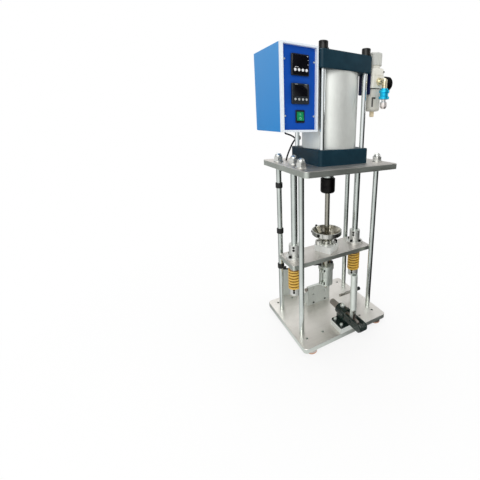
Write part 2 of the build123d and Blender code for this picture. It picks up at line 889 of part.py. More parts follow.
# Cable gland under the box
with BuildPart() as cable_gland:
    with BuildSketch(Plane.XY.offset(box_bottom)):
        with Locations((gland_x, gland_y)):
            Circle(gland_diameter / 2)
    extrude(amount=-gland_height)
    chamfer(cable_gland.faces().sort_by(Axis.Z)[0].edges(), 0.8)
    with BuildSketch(Plane.XY.offset(box_bottom)):
        with Locations((gland_x, gland_y)):
            Circle(gland_neck_diameter / 2)
    extrude(amount=box_wall)
cable_gland.part.label = "cable_gland"

# Bracket of the air unit on the upper cap
with BuildPart() as air_bracket:
    with BuildSketch(Plane.YZ.offset(cap_width / 2)):
        with Locations(
            (air_plate_front + air_plate_width / 2, (air_plate_bottom + air_plate_top) / 2)
        ):
            RectangleRounded(air_plate_width, air_plate_top - air_plate_bottom, 4)
    extrude(amount=air_plate_thickness)
air_bracket.part.label = "air_bracket"

# Regulator body with its bonnet, neck and spindle
with BuildPart() as regulator_body:
    with BuildSketch(Plane.XY.offset(regulator_bottom)):
        with Locations((regulator_x, regulator_y)):
            RectangleRounded(regulator_width, regulator_width, regulator_corner)
    extrude(amount=regulator_height)
    chamfer(regulator_body.faces().sort_by(Axis.Z)[-1].edges(), 1.5)
    with BuildSketch(Plane.XY.offset(regulator_top)):
        with Locations((regulator_x, regulator_y)):
            RectangleRounded(regulator_width, regulator_width, bonnet_corner)
    extrude(amount=bonnet_height)
    fillet(regulator_body.faces().sort_by(Axis.Z)[-1].edges(), bonnet_round)
    with BuildSketch(Plane.XY.offset(regulator_top + bonnet_height)):
        with Locations((regulator_x, regulator_y)):
            Circle(neck_diameter / 2)
    extrude(amount=neck_height)
    with BuildSketch(Plane.XY.offset(knob_bottom)):
        with Locations((regulator_x, regulator_y)):
            Circle(spindle_diameter / 2)
    extrude(amount=knob_height * 0.7)
regulator_body.part.label = "regulator_body"

# Ribbed pressure knob
with BuildPart() as regulator_knob:
    with BuildSketch(Plane.XY.offset(knob_bottom + seat_gap)):
        with Locations((regulator_x, regulator_y)):
            Circle(knob_diameter / 2)
            with PolarLocations(knob_diameter / 2, knob_ribs):
                Rectangle(2 * knob_rib_depth, knob_groove_width, mode=Mode.SUBTRACT)
    extrude(amount=knob_height - knob_cap_height)
    with BuildSketch(Plane.XY.offset(knob_bottom + seat_gap + knob_height - knob_cap_height)):
        with Locations((regulator_x, regulator_y)):
            Circle(knob_diameter / 2)
    extrude(amount=knob_cap_height)
    fillet(regulator_knob.faces().sort_by(Axis.Z)[-1].edges(), knob_cap_height / 2)
    with BuildSketch(Plane.XY.offset(knob_bottom + seat_gap)):
        with Locations((regulator_x, regulator_y)):
            Circle(spindle_diameter / 2 + running_gap)
    extrude(amount=knob_height * 0.7 + part_gap, mode=Mode.SUBTRACT)
regulator_knob.part.label = "regulator_knob"

# Filter bowl guard with its sight window and drain
bowl_guard_bottom = regulator_bottom - bowl_guard_height
window_centre = (regulator_x, regulator_y, regulator_bottom - window_drop)
window_side = (cos(radians(window_turn)), sin(radians(window_turn)), 0)
window_face = (sin(radians(window_turn)), -cos(radians(window_turn)), 0)
window_plane = Plane(origin=window_centre, x_dir=window_side, z_dir=window_face)
with BuildPart() as regulator_bowl:
    with BuildSketch(Plane.XY.offset(regulator_bottom)):
        with Locations((regulator_x, regulator_y)):
            Circle(bowl_guard_diameter / 2)
    extrude(amount=-bowl_guard_height)
    fillet(regulator_bowl.faces().sort_by(Axis.Z)[0].edges(), bowl_guard_round)
    with BuildSketch(window_plane.offset(bowl_guard_diameter / 2 - window_depth)):
        SlotOverall(window_height, window_width, rotation=90)
    extrude(amount=2 * window_depth, mode=Mode.SUBTRACT)
    with BuildSketch(Plane.XY.offset(bowl_guard_bottom)):
        with Locations((regulator_x, regulator_y)):
            Circle(drain_diameter / 2)
    extrude(amount=-drain_height)
    chamfer(regulator_bowl.faces().sort_by(Axis.Z)[0].edges(), 2)
regulator_bowl.part.label = "regulator_bowl"

# Pressure gauge on the side of the regulator
gauge_stem_start = regulator_x + regulator_width / 2
with BuildPart() as pressure_gauge:
    with BuildSketch(Plane.YZ.offset(gauge_stem_start)):
        with Locations((regulator_y, port_z)):
            Circle(gauge_stem_diameter / 2)
    extrude(amount=gauge_stem_length)
    with BuildSketch(Plane.YZ.offset(gauge_stem_start + gauge_stem_length)):
        with Locations((regulator_y, port_z)):
            Circle(gauge_diameter / 2)
    extrude(amount=gauge_depth)
    fillet(pressure_gauge.faces().sort_by(Axis.X)[-1].edges(), 1)
    with BuildSketch(pressure_gauge.faces().sort_by(Axis.X)[-1]):
        Circle(gauge_diameter / 2 - gauge_rim)
    extrude(amount=-gauge_dial_depth, mode=Mode.SUBTRACT)
pressure_gauge.part.label = "pressure_gauge"

# Inlet elbow on the front of the regulator
inlet_y = regulator_front - elbow_reach
elbow_bottom = port_z - elbow_drop
with BuildPart() as inlet_elbow:
    with BuildSketch(Plane.XZ.offset(-regulator_front)):
        with Locations((regulator_x, port_z)):
            Circle(elbow_diameter / 2)
    extrude(amount=elbow_reach)
    with BuildSketch(Plane.XY.offset(elbow_bottom)):
        with Locations((regulator_x, inlet_y)):
            Circle(elbow_diameter / 2)
    extrude(amount=elbow_drop)
    with Locations((regulator_x, inlet_y, port_z)):
        Sphere(elbow_diameter / 2)
    with BuildSketch(Plane.XZ.offset(-regulator_front)):
        with Locations((regulator_x, port_z)):
            RegularPolygon(elbow_nut_flats / 2, 6, major_radius=False)
    extrude(amount=elbow_nut_thickness)
inlet_elbow.part.label = "inlet_elbow"

# Quick coupler under the elbow
coupler_plane = Plane(origin=(regulator_x, inlet_y, 0), x_dir=(1, 0, 0), z_dir=(0, -1, 0))
coupler_axis = Axis((regulator_x, inlet_y, 0), (0, 0, 1))
with BuildPart() as quick_coupler:
    with BuildSketch(coupler_plane):
        with BuildLine():
            Polyline(
                (0, elbow_bottom),
                (coupler_neck_diameter / 2, elbow_bottom),
                (coupler_neck_diameter / 2, elbow_bottom - coupler_neck_length),
                (coupler_diameter / 2, elbow_bottom - coupler_neck_length - 1),
                (coupler_diameter / 2, elbow_bottom - coupler_neck_length - coupler_lip),
                (coupler_waist_diameter / 2, elbow_bottom - coupler_neck_length - coupler_lip - 2),
                (coupler_waist_diameter / 2, elbow_bottom - coupler_length + coupler_lip + 2),
                (coupler_diameter / 2, elbow_bottom - coupler_length + coupler_lip),
                (coupler_diameter / 2, elbow_bottom - coupler_length + 1),
                (coupler_neck_diameter / 2, elbow_bottom - coupler_length),
                (0, elbow_bottom - coupler_length),
                close=True,
            )
        make_face()
    revolve(axis=coupler_axis)
quick_coupler.part.label = "quick_coupler"

# Hose plug under the coupler
plug_top = elbow_bottom - coupler_length
with BuildPart() as coupler_plug:
    with BuildSketch(coupler_plane):
        with BuildLine():
            Polyline(
                (0, plug_top),
                (plug_diameter / 2, plug_top),
                (plug_diameter / 2, plug_top - plug_collar_drop + 2),
                (plug_collar_diameter / 2, plug_top - plug_collar_drop),
                (plug_collar_diameter / 2, plug_top - plug_collar_drop - plug_collar_height),
                (plug_diameter / 2, plug_top - plug_length),
                (0, plug_top - plug_length),
                close=True,
            )
        make_face()
    revolve(axis=coupler_axis)
coupler_plug.part.label = "coupler_plug"

# Angle plate that backs the mould
mould_plate_back = mould_face_y + mould_plate_thickness
mould_bottom_plane = Plane.XY.offset(base_top)
with BuildPart() as mould_back_plate:
    with BuildSketch(Plane.XZ.offset(-mould_face_y)):
        with Locations((mould_x, base_top)):
            Rectangle(mould_plate_width, mould_plate_height, align=(Align.CENTER, Align.MIN))
        for hole_rise in mould_hole_heights:
            with Locations(
                (mould_x - mould_hole_spacing / 2, base_top + hole_rise),
                (mould_x + mould_hole_spacing / 2, base_top + hole_rise),
            ):
                Circle(mould_hole_diameter / 2, mode=Mode.SUBTRACT)
    extrude(amount=-mould_plate_thickness)
    with BuildSketch(mould_bottom_plane):
        with Locations((mould_x, mould_plate_back)):
            Rectangle(mould_plate_width, mould_foot_depth, align=(Align.CENTER, Align.MIN))
        with Locations(
            (mould_x - mould_foot_hole_spacing / 2, mould_plate_back + mould_foot_depth - mould_hole_inset),
            (mould_x + mould_foot_hole_spacing / 2, mould_plate_back + mould_foot_depth - mould_hole_inset),
        ):
            Circle(mould_hole_diameter / 2, mode=Mode.SUBTRACT)
    extrude(amount=mould_foot_thickness)
    for gusset_side in (-1, 1):
        gusset_x = mould_x + gusset_side * (mould_plate_width - mould_gusset) / 2
        with BuildSketch(Plane.YZ.offset(gusset_x)):
            with BuildLine():
                Polyline(
                    (mould_plate_back, base_top + mould_foot_thickness),
                    (mould_plate_back + mould_foot_depth, base_top + mould_foot_thickness),
                    (mould_plate_back, base_top + mould_plate_height - mould_gusset_drop),
                    close=True,
                )
            make_face()
        extrude(amount=mould_gusset / 2, both=True)
mould_back_plate.part.label = "mould_back_plate"

# Plate on the rear edge of the base
rear_face_y = base_depth / 2
with BuildPart() as rear_plate:
    with BuildSketch(Plane.XZ.offset(-rear_face_y)):
        with Locations((rear_plate_x, base_bottom)):
            Rectangle(rear_plate_width, rear_plate_height, align=(Align.CENTER, Align.MIN))
    extrude(amount=-rear_plate_thickness)
    fillet(rear_plate.edges().filter_by(Axis.Y).sort_by(Axis.Z)[-2:], 4)
rear_plate.part.label = "rear_plate"

# Post of the side stop
side_post_top = base_top + side_post_height
with BuildPart() as side_stop_post:
    with BuildSketch(Plane.XY.offset(base_top)):
        with Locations((side_post_x, side_rod_y)):
            Rectangle(side_post_width, side_post_width)
    extrude(amount=side_post_height)
    chamfer(side_stop_post.faces().sort_by(Axis.Z)[-1].edges(), 1)
    with BuildSketch(Plane.YZ.offset(side_post_x)):
        with Locations((side_rod_y, side_rod_z)):
            Circle(side_rod_diameter / 2 + running_gap)
    extrude(amount=side_post_width, both=True, mode=Mode.SUBTRACT)
side_stop_post.part.label = "side_stop_post"

# Sliding rod of the side stop with its knurled knob
with BuildPart() as side_stop_rod:
    with BuildSketch(Plane.YZ.offset(side_rod_nose_x)):
        with Locations((side_rod_y, side_rod_z)):
            Circle(side_rod_diameter / 2)
    extrude(amount=side_rod_length)
    chamfer(side_stop_rod.faces().sort_by(Axis.X)[0].edges(), 1)
    with BuildSketch(Plane.YZ.offset(side_rod_nose_x + side_rod_length)):
        with Locations((side_rod_y, side_rod_z)):
            Circle(side_knob_diameter / 2)
    extrude(amount=side_knob_length)
    chamfer(side_stop_rod.faces().sort_by(Axis.X)[-1].edges(), 1)
side_stop_rod.part.label = "side_stop_rod"

# Riser under the toggle clamp
with BuildPart() as riser_block:
    with BuildSketch(Plane.XY.offset(base_top)):
        with Locations((mould_x, clamp_y)):
            Rectangle(riser_width, riser_depth)
    extrude(amount=riser_height)
    chamfer(riser_block.faces().sort_by(Axis.Z)[-1].edges(), 0.8)
riser_block.part.label = "riser_block"

# Cast body of the push-pull toggle clamp
sleeve_y = clamp_y + sleeve_shift
sleeve_rear_y = sleeve_y - sleeve_length / 2
cheek_start_y = sleeve_rear_y + cheek_overlap
with BuildPart() as clamp_body:
    with BuildSketch(Plane.XY.offset(riser_top)):
        with Locations((mould_x, clamp_y)):
            RectangleRounded(clamp_flange_width, clamp_flange_depth, 5)
            with GridLocations(clamp_hole_spacing_x, clamp_hole_spacing_y, 2, 2):
                Circle(clamp_hole_diameter / 2, mode=Mode.SUBTRACT)
    extrude(amount=clamp_flange_thickness)
    with BuildSketch(Plane.XY.offset(riser_top)):
        with Locations((mould_x, sleeve_y)):
            Rectangle(cheek_gap, sleeve_length)
    extrude(amount=clamp_flange_thickness + clamp_axis_rise)
    with BuildSketch(Plane.XZ.offset(-sleeve_rear_y)):
        with Locations((mould_x, clamp_axis_z)):
            Circle(sleeve_diameter / 2)
    extrude(amount=-sleeve_length)
    for cheek_side in (-1, 1):
        cheek_x = mould_x + cheek_side * (cheek_gap + cheek_thickness) / 2
        with BuildSketch(Plane.YZ.offset(cheek_x)):
            with Locations(((cheek_start_y + cheek_end_y) / 2, clamp_axis_z)):
                Rectangle(cheek_start_y - cheek_end_y, cheek_height)
            with Locations((cheek_end_y, clamp_axis_z)):
                Circle(cheek_height / 2)
        extrude(amount=cheek_thickness / 2, both=True)
    with BuildSketch(Plane.YZ.offset(mould_x)):
        with Locations((cheek_end_y - cheek_height / 2 + 1, clamp_axis_z)):
            Rectangle(cheek_web_thickness, cheek_web_height, align=(Align.MIN, Align.CENTER))
    extrude(amount=(cheek_gap + cheek_thickness) / 2, both=True)
    with BuildSketch(Plane.XZ.offset(-sleeve_rear_y)):
        with Locations((mould_x, clamp_axis_z)):
            Circle(clamp_rod_diameter / 2 + running_gap)
    extrude(amount=-sleeve_length, mode=Mode.SUBTRACT)
    with BuildSketch(Plane.YZ.offset(mould_x)):
        with Locations((lever_pivot_y, clamp_axis_z)):
            Circle(lever_pin_diameter / 2)
    extrude(amount=cheek_gap / 2 + cheek_thickness + pin_head, both=True)
clamp_body.part.label = "clamp_body"

# Lever of the toggle clamp, a folded channel open towards the machine
lever_plane = Plane(
    origin=(mould_x, lever_pivot_y, clamp_axis_z),
    x_dir=(0, cos(radians(lever_lean)), -sin(radians(lever_lean))),
    z_dir=(1, 0, 0),
)
lever_open = lever_width / 2 - lever_wall
with BuildPart() as clamp_lever:
    with BuildSketch(lever_plane):
        with Locations((0, fork_length / 2)):
            Rectangle(fork_depth, fork_length)
        Circle(lever_round)
    extrude(amount=lever_width / 2, both=True)
    with BuildSketch(lever_plane):
        Rectangle(4 * lever_round, 3 * fork_length)
    extrude(amount=lever_open, both=True, mode=Mode.SUBTRACT)
    with BuildSketch(Plane(origin=lever_plane.from_local_coords((0, handle_start, 0)), z_dir=lever_plane.y_dir)):
        Circle(handle_diameter / 2)
        Circle(handle_diameter / 2 - handle_wall, mode=Mode.SUBTRACT)
    extrude(amount=lever_length - handle_start)
    with BuildSketch(lever_plane):
        Circle(lever_pin_diameter / 2 + running_gap)
    extrude(amount=lever_width, both=True, mode=Mode.SUBTRACT)
    with BuildSketch(lever_plane):
        with Locations((0, drive_pin_radius)):
            Circle(drive_pin_diameter / 2)
    extrude(amount=lever_width / 2, both=True)
clamp_lever.part.label = "clamp_lever"

# Plunger of the toggle clamp, a round bar with a flat slotted tail and a yoke for the lever's pin
drive_pin_y = lever_pivot_y + drive_pin_radius * sin(radians(lever_lean))
drive_pin_z = clamp_axis_z + drive_pin_radius * cos(radians(lever_lean))
clamp_rod_tail_y = clamp_rod_nose_y - clamp_rod_length
tail_slot_height = lever_pin_diameter + 2 * tail_slot_gap
tail_slot_y = lever_pivot_y + (clamp_pull - clamp_push) / 2
yoke_slot_bottom = clamp_axis_z + tail_slot_height / 2 + tail_wall
with BuildPart() as clamp_plunger:
    with BuildSketch(Plane.XZ.offset(-clamp_rod_nose_y)):
        with Locations((mould_x, clamp_axis_z)):
            Circle(clamp_rod_diameter / 2)
    extrude(amount=clamp_rod_length)
    fillet(clamp_plunger.faces().sort_by(Axis.Y)[-1].edges(), clamp_nose_round)
    with BuildSketch(Plane.YZ.offset(mould_x)):
        with Locations((clamp_rod_tail_y + tail_root, clamp_axis_z)):
            Rectangle(
                clamp_rod_tail_y + tail_root - tail_end_y - tail_height / 2,
                tail_height,
                align=(Align.MAX, Align.CENTER),
            )
        with Locations((tail_end_y + tail_height / 2, clamp_axis_z)):
            Circle(tail_height / 2)
        with Locations((drive_pin_y, clamp_axis_z)):
            Rectangle(
                yoke_slot_width + 2 * yoke_wall,
                drive_pin_z - clamp_axis_z + yoke_rise,
                align=(Align.CENTER, Align.MIN),
            )
        with Locations((tail_slot_y, clamp_axis_z)):
            SlotCenterToCenter(clamp_push + clamp_pull, tail_slot_height, mode=Mode.SUBTRACT)
        with Locations((drive_pin_y, yoke_slot_bottom)):
            Rectangle(
                yoke_slot_width,
                drive_pin_radius + yoke_rise,
                align=(Align.CENTER, Align.MIN),
                mode=Mode.SUBTRACT,
            )
    extrude(amount=tail_thickness / 2, both=True)
clamp_plunger.part.label = "clamp_plunger"

# Cable along the left rear column
cable_column_gap = (column_diameter + cable_diameter) / 2 + strap_thickness
cable_x = -column_x + cable_column_gap * cos(radians(cable_angle))
cable_y = column_y + cable_column_gap * sin(radians(cable_angle))
with BuildPart() as cable_straps:
    for strap_z in strap_heights:
        with BuildSketch(Plane.XY.offset(strap_z - strap_height / 2)):
            with Locations((-column_x, column_y)):
                Circle(column_diameter / 2 + strap_thickness)
            with Locations((cable_x, cable_y)):
                Circle(cable_diameter / 2 + strap_thickness)
            make_hull()
            with Locations((-column_x, column_y)):
                Circle(column_diameter / 2, mode=Mode.SUBTRACT)
            with Locations((cable_x, cable_y)):
                Circle(cable_diameter / 2 + cable_strap_gap, mode=Mode.SUBTRACT)
        extrude(amount=strap_height)
cable_straps.part.label = "cable_straps"

# Control cable from the box down the left rear column
cable_points = [
    (gland_x, gland_y, box_bottom - gland_height),
    (gland_x, gland_y, box_bottom - 10),
    (6 - cap_side, cap_side + 4.5, box_bottom - 16.5),
    (26.7 - cap_side, cap_side + 3.5, box_bottom - 32.3),
    (34.1 - cap_side, cap_side + 2, box_bottom - 28.2),
    (33.4 - cap_side, cap_side + 0.8, box_bottom - 19.7),
    (25.4 - cap_side, cap_side - 0.5, box_bottom - 17),
    (5 - cap_side, cap_side - 1, box_bottom - 39.5),
    (6.5 + cable_hole_x, cable_hole_y, upper_top + 19),
    (cable_hole_x, cable_hole_y, upper_top),
    (cable_hole_x, cable_hole_y, upper_bottom - 9),
    (cable_x, cable_y, upper_bottom - 18),
    (cable_x, cable_y, cable_low),
    (cable_x + 12.7, cable_y - 6.78, cable_low),
]
lead_points = [
    (cable_x + 12.7, cable_y - 6.78, cable_low),
    (cable_x + 25.05, cable_y - 13.37, cable_low),
    (-86, 53, 191),
    (-62, 30, 204),
    (-41.36, 7.29, 201),
    (
        terminal_reach * cos(radians(terminal_turns[0])),
        terminal_reach * sin(radians(terminal_turns[0])),
        heater_top + terminal_height / 2,
    ),
]


def bend_radii(points):
    radii = []
    for start, corner, end in zip(points, points[1:], points[2:]):
        first_run = Vector(*corner) - Vector(*start)
        second_run = Vector(*end) - Vector(*corner)
        turn = first_run.get_angle(second_run)
        shorter_run = min(first_run.length, second_run.length)
        radii.append(0.45 * shorter_run / tan(radians(turn / 2)))
    return radii


cable_radii = bend_radii(cable_points)
lead_radii = bend_radii(lead_points)
print("cable radii", [round(radius, 1) for radius in cable_radii])
print("lead radii", [round(radius, 1) for radius in lead_radii])

with BuildPart() as control_cable:
    with BuildLine() as cable_route:
        FilletPolyline(*cable_points, radius=cable_radii)
    with BuildSketch(Plane(origin=cable_route.line @ 0, z_dir=cable_route.line % 0)):
        Circle(cable_diameter / 2)
    sweep()
control_cable.part.label = "control_cable"

# Lead from the cable to the heater terminals
with BuildPart() as heater_lead:
    with BuildLine() as lead_route:
        FilletPolyline(*lead_points, radius=lead_radii)
    with BuildSketch(Plane(origin=lead_route.line @ 0, z_dir=lead_route.line % 0)):
        Circle(cable_diameter / 2)
    sweep()
heater_lead.part.label = "heater_lead"
cable_area = 3.14159 * cable_diameter**2 / 4
for run, tube in ((cable_route, control_cable), (lead_route, heater_lead)):
    run_length = sum(edge.length for edge in run.edges())
    print("length", round(run_length, 1), "volumes", round(run_length * cable_area), round(tube.part.volume))

for piece in (
    base_plate,
    feet,
    foot_pads,
    columns,
    upper_plate,
    acorn_nuts,
    guide_rods,
    rod_collars,
    die_springs,
    cylinder_lower_cap,
    cylinder_barrel,
    cylinder_upper_cap,
    tie_rods,
    tie_rod_screws,
    piston_rod,
    rod_coupling,
    plunger,
    carriage_plate,
    linear_bearings,
    clamp_block,
    hopper_bowl,
    barrel,
    heater_band,
    heater_terminals,
    box_bracket,
    control_box,
    box_bezel,
    front_panel,
    temperature_controllers,
    switch_frame,
    rocker_button,
    cable_gland,
    air_bracket,
    regulator_body,
    regulator_knob,
    regulator_bowl,
    pressure_gauge,
    inlet_elbow,
    quick_coupler,
    coupler_plug,
    mould_back_plate,
    rear_plate,
    side_stop_post,
    side_stop_rod,
    riser_block,
    clamp_body,
    clamp_lever,
    clamp_plunger,
    cable_straps,
    control_cable,
    heater_lead,
):
    export_step(piece.part, f"parts/{piece.part.label}.step")
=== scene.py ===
from math import cos, pi, radians, sin

import bmesh
import bpy
from mathutils import Matrix, Vector


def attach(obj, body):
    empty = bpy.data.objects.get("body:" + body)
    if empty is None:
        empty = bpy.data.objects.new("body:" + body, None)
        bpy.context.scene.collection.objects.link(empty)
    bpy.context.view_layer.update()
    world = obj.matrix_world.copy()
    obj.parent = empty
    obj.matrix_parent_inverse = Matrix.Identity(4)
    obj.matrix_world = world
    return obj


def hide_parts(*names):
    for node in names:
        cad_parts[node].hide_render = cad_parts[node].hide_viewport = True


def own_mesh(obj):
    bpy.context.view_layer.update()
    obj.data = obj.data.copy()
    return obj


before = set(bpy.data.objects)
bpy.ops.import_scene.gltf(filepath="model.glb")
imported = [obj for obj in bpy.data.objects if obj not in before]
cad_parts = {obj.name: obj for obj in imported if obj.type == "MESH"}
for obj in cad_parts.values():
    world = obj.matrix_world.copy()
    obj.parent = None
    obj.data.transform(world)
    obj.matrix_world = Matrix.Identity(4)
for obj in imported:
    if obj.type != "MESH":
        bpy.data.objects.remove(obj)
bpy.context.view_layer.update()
scene = bpy.context.scene
scene.view_settings.view_transform = "Standard"

# Camera. It stands to the left of the front, level with the foot of the control box, and looks
# slightly down. The shift brings the machine to its place right of the picture's middle.
picture, focal_length, sensor = 480, 283.6, 36
axis_across, axis_down = 316.9, 198.6
heading, tilt_down, roll = -32.31, 15.22, 0.63
camera = bpy.data.objects.new("camera", bpy.data.cameras.new("camera"))
scene.collection.objects.link(camera)
camera.location = (-0.4963, -0.7217, 0.6656)
aim = Matrix.Rotation(radians(heading), 3, "Z") @ Matrix.Rotation(radians(90 - tilt_down), 3, "X")
camera.rotation_mode = "QUATERNION"
camera.rotation_quaternion = (aim @ Matrix.Rotation(radians(roll), 3, "Z")).to_quaternion()
camera.data.sensor_width = sensor
camera.data.lens = focal_length / picture * sensor
camera.data.shift_x = (picture / 2 - axis_across) / picture
camera.data.shift_y = (axis_down - picture / 2) / picture
scene.camera = camera

# Base plate. A thick aluminium plate with a milled top, sawn sides and rounded corners, drilled
# for its columns and fixtures; the top is brushed along its length and faintly stained by
# handling. Its sides are painted darker and greener than its top, as shade, and the top lighter
# and warmer, as light. The upper plate and the carriage plate are cut from greyer stock of the same
# kind.


class Signal:
    """A value on its way through a finish. Sums and products take it as they take a number."""

    def __init__(self, tree, socket=None):
        self.tree, self.socket = tree, socket

    def node(self, kind, settings, inputs, output=0):
        """Adds a node, with its settings made first, and gives the value that comes out of it."""
        made = self.tree.nodes.new("ShaderNode" + kind)
        for key, value in settings.items():
            setattr(made, key, value)
        for key, value in inputs.items():
            if isinstance(value, Signal):
                self.tree.links.new(value.socket, made.inputs[key])
            else:
                made.inputs[key].default_value = value
        return Signal(self.tree, made.outputs[output])

    def maths(self, operation, first, second):
        return self.node("Math", {"operation": operation}, {0: first, 1: second})

    def vector(self, operation, other=(0, 0, 0), output="Vector"):
        """Works on a whole place or direction. Lengths and dot products come out as Value."""
        return self.node("VectorMath", {"operation": operation}, {0: self, 1: other}, output)

    def length(self):
        return self.vector("LENGTH", output="Value")

    def along(self, axis):
        """The part of a place or a direction that lies along X, Y or Z."""
        return self.node("SeparateXYZ", {}, {0: self}, axis)

    def __add__(self, other):
        return self.maths("ADD", self, other)

    def __sub__(self, other):
        return self.maths("SUBTRACT", self, other)

    def __rsub__(self, other):
        return self.maths("SUBTRACT", other, self)

    def __mul__(self, other):
        return self.maths("MULTIPLY", self, other)

    def __gt__(self, other):
        return self.maths("GREATER_THAN", self, other)

    def __lt__(self, other):
        return self.maths("LESS_THAN", self, other)

    def __abs__(self):
        return self.maths("ABSOLUTE", self, 0.0)

    __radd__ = __add__
    __rmul__ = __mul__


def begin(name):
    """A new finish, and the place on the machine in metres that its patterns are drawn from."""
    material = bpy.data.materials.new(name)
    material.use_nodes = True
    return material, Signal(material.node_tree).node("TexCoord", {}, {}, "Object")


def complete(material, colour, roughness, height, depth, **plain):
    """Joins a finish's parts to its shader. height is a pattern that stands up by depth, in
    metres, and plain are the shader's own values that are the same all over."""
    tree = material.node_tree
    shader = tree.nodes["Principled BSDF"]
    bump = height.node("Bump", {}, {"Strength": 1.0, "Distance": depth, "Height": height})
    for socket, signal in (("Base Color", colour), ("Roughness", roughness), ("Normal", bump)):
        tree.links.new(signal.socket, shader.inputs[socket])
    for key, value in plain.items():
        socket = key.replace("_", " ").title().replace("Ior", "IOR")
        shader.inputs[socket].default_value = value
    return material


def grain(place, cells, detail=2.0, rough=0.5):
    """Soft noise from 0 to 1, with its cells per metre along X, Y and Z."""
    spread = place.vector("MULTIPLY", cells)
    return place.node(
        "TexNoise", {}, {"Vector": spread, "Scale": 1.0, "Detail": detail, "Roughness": rough}
    )


def between(mask, low, high):
    """The mask spread so that low becomes 0 and high becomes 1, held at both ends."""
    return mask.node(
        "MapRange", {"clamp": True}, {"Value": mask, "From Min": low, "From Max": high}
    )


def tint(mask, first, second):
    """The first colour where the mask is 0, the second where it is 1. Either may vary itself."""
    ends = [end if isinstance(end, Signal) else (*end, 1) for end in (first, second)]
    return mask.node("Mix", {"data_type": "RGBA"}, {0: mask, 6: ends[0], 7: ends[1]}, 2)


def tool_marks(place, lines, clouds, specks, rough):
    """What work and handling leave on bare metal: the tool's lines, broad uneven stains, and the
    roughness that both and some fine specks make together."""
    tool = grain(place, lines, 3)
    stain = between(grain(place, (clouds,) * 3, 5, 0.6), 0.32, 0.7)
    speck = between(grain(place, (specks,) * 3, 2), 0.62, 0.8)
    return tool, stain, rough + (tool - 0.5) * 0.12 + stain * 0.07 + speck * 0.1


def shaded_side_plate(name, lit_tops, sides, metallic):
    """Aluminium plate whose sides are painted darker and greener than its top, as shade; top and
    sides each go from dark to light.
    """
    material, place = begin(name)
    tool, stain, roughness = tool_marks(place, (6, 420, 90), 9, 400, 0.36)
    normal = place.node("NewGeometry", {}, {}, "Normal")
    # Painted shade: faces that stand upright get the darker, greener side colour.
    upright = between(abs(normal.along("Z")), 0.75, 0.45)
    lit_top_colour = tint(between(tool * 0.4 + stain * 0.6, 0.2, 0.8), *lit_tops)
    shaded_side_colour = tint(between(tool * 0.6 + stain * 0.4, 0.2, 0.8), *sides)
    colour = tint(upright, lit_top_colour, shaded_side_colour)
    return complete(material, colour, roughness, tool, 0.00003, metallic=metallic)


def dress(finish, *nodes):
    """Gives CAD nodes their finish."""
    for node in nodes:
        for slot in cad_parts[node].material_slots:
            slot.material = finish


base_finish = shaded_side_plate(
    "base_aluminium",
    lit_tops=((0.68, 0.655, 0.61), (0.84, 0.82, 0.775)),
    sides=((0.54, 0.58, 0.54), (0.68, 0.72, 0.67)),
    metallic=0.82,
)
dress(base_finish, "base_plate")
plate_finish = shaded_side_plate(
    "plate_aluminium",
    lit_tops=((0.56, 0.53, 0.49), (0.70, 0.68, 0.65)),
    sides=((0.48, 0.52, 0.47), (0.64, 0.68, 0.63)),
    metallic=0.9,
)
dress(plate_finish, "upper_plate", "carriage_plate")

# Base fixtures. The mould's back plate, the rear plate and the clamp's riser block are milled
# from lighter aluminium bar, left bare and bolted down on the base.


def bare_metal(name, dark, light, rough, lines, clouds=9, depth=0.00003, metallic=1.0):
    """Uncoated metal: tool lines drawn out along one direction and standing up by depth, in metres,
    with broad uneven stains. lines and clouds are their cells per metre."""
    material, place = begin(name)
    tool, stain, roughness = tool_marks(place, lines, clouds, clouds * 45, rough)
    colour = tint(between(tool * 0.5 + stain * 0.5, 0.2, 0.8), dark, light)
    return complete(material, colour, roughness, tool, depth, metallic=metallic)


fixture_finish = bare_metal(
    "fixture_aluminium", (0.60, 0.64, 0.60), (0.72, 0.76, 0.72), rough=0.5, lines=(240, 240, 30),
    metallic=0.35,
)
dress(fixture_finish, "mould_back_plate", "rear_plate")
riser_finish = bare_metal(
    "riser_aluminium", (0.76, 0.80, 0.76), (0.88, 0.92, 0.88), rough=0.45, lines=(240, 240, 30),
    metallic=0.3,
)
dress(riser_finish, "riser_block")

# Feet. Turned steel pucks under the corners of the base, each on a pad of red-brown rubber that is
# paler in random patches.
foot_finish = bare_metal(
    "foot_steel", (0.42, 0.40, 0.38), (0.68, 0.66, 0.63), rough=0.25, lines=(30, 30, 900)
)
dress(foot_finish, "feet")
material, place = begin("foot_rubber")
flecks = between(grain(place, (900, 900, 900), 3), 0.45, 0.75)
pale_patches = between(grain(place, (60, 60, 60), 4), 0.5, 0.75)
rubber = tint(pale_patches, tint(flecks, (0.58, 0.32, 0.21), (0.72, 0.44, 0.31)), (0.80, 0.58, 0.46))
pad_finish = complete(material, rubber, 0.55 + flecks * 0.2, flecks, depth=0.0001)
dress(pad_finish, "foot_pads")

# Columns, guide rods and press rod. Ground and chromed steel bar, bright with hair-fine lines
# along its length and a thin film of oil. The plunger and the barrel that it enters are oiled
# tool steel.
chrome_finish = bare_metal(
    "rod_chrome", (0.52, 0.57, 0.54), (0.72, 0.77, 0.74), rough=0.16, lines=(700, 700, 4),
    clouds=14, depth=0.000006,
)
dress(chrome_finish, "columns", "guide_rods", "piston_rod")
plunger_finish = bare_metal(
    "plunger_steel", (0.30, 0.29, 0.24), (0.50, 0.49, 0.43), rough=0.18, lines=(500, 500, 5),
    clouds=20, depth=0.000008,
)
dress(plunger_finish, "plunger", "barrel")

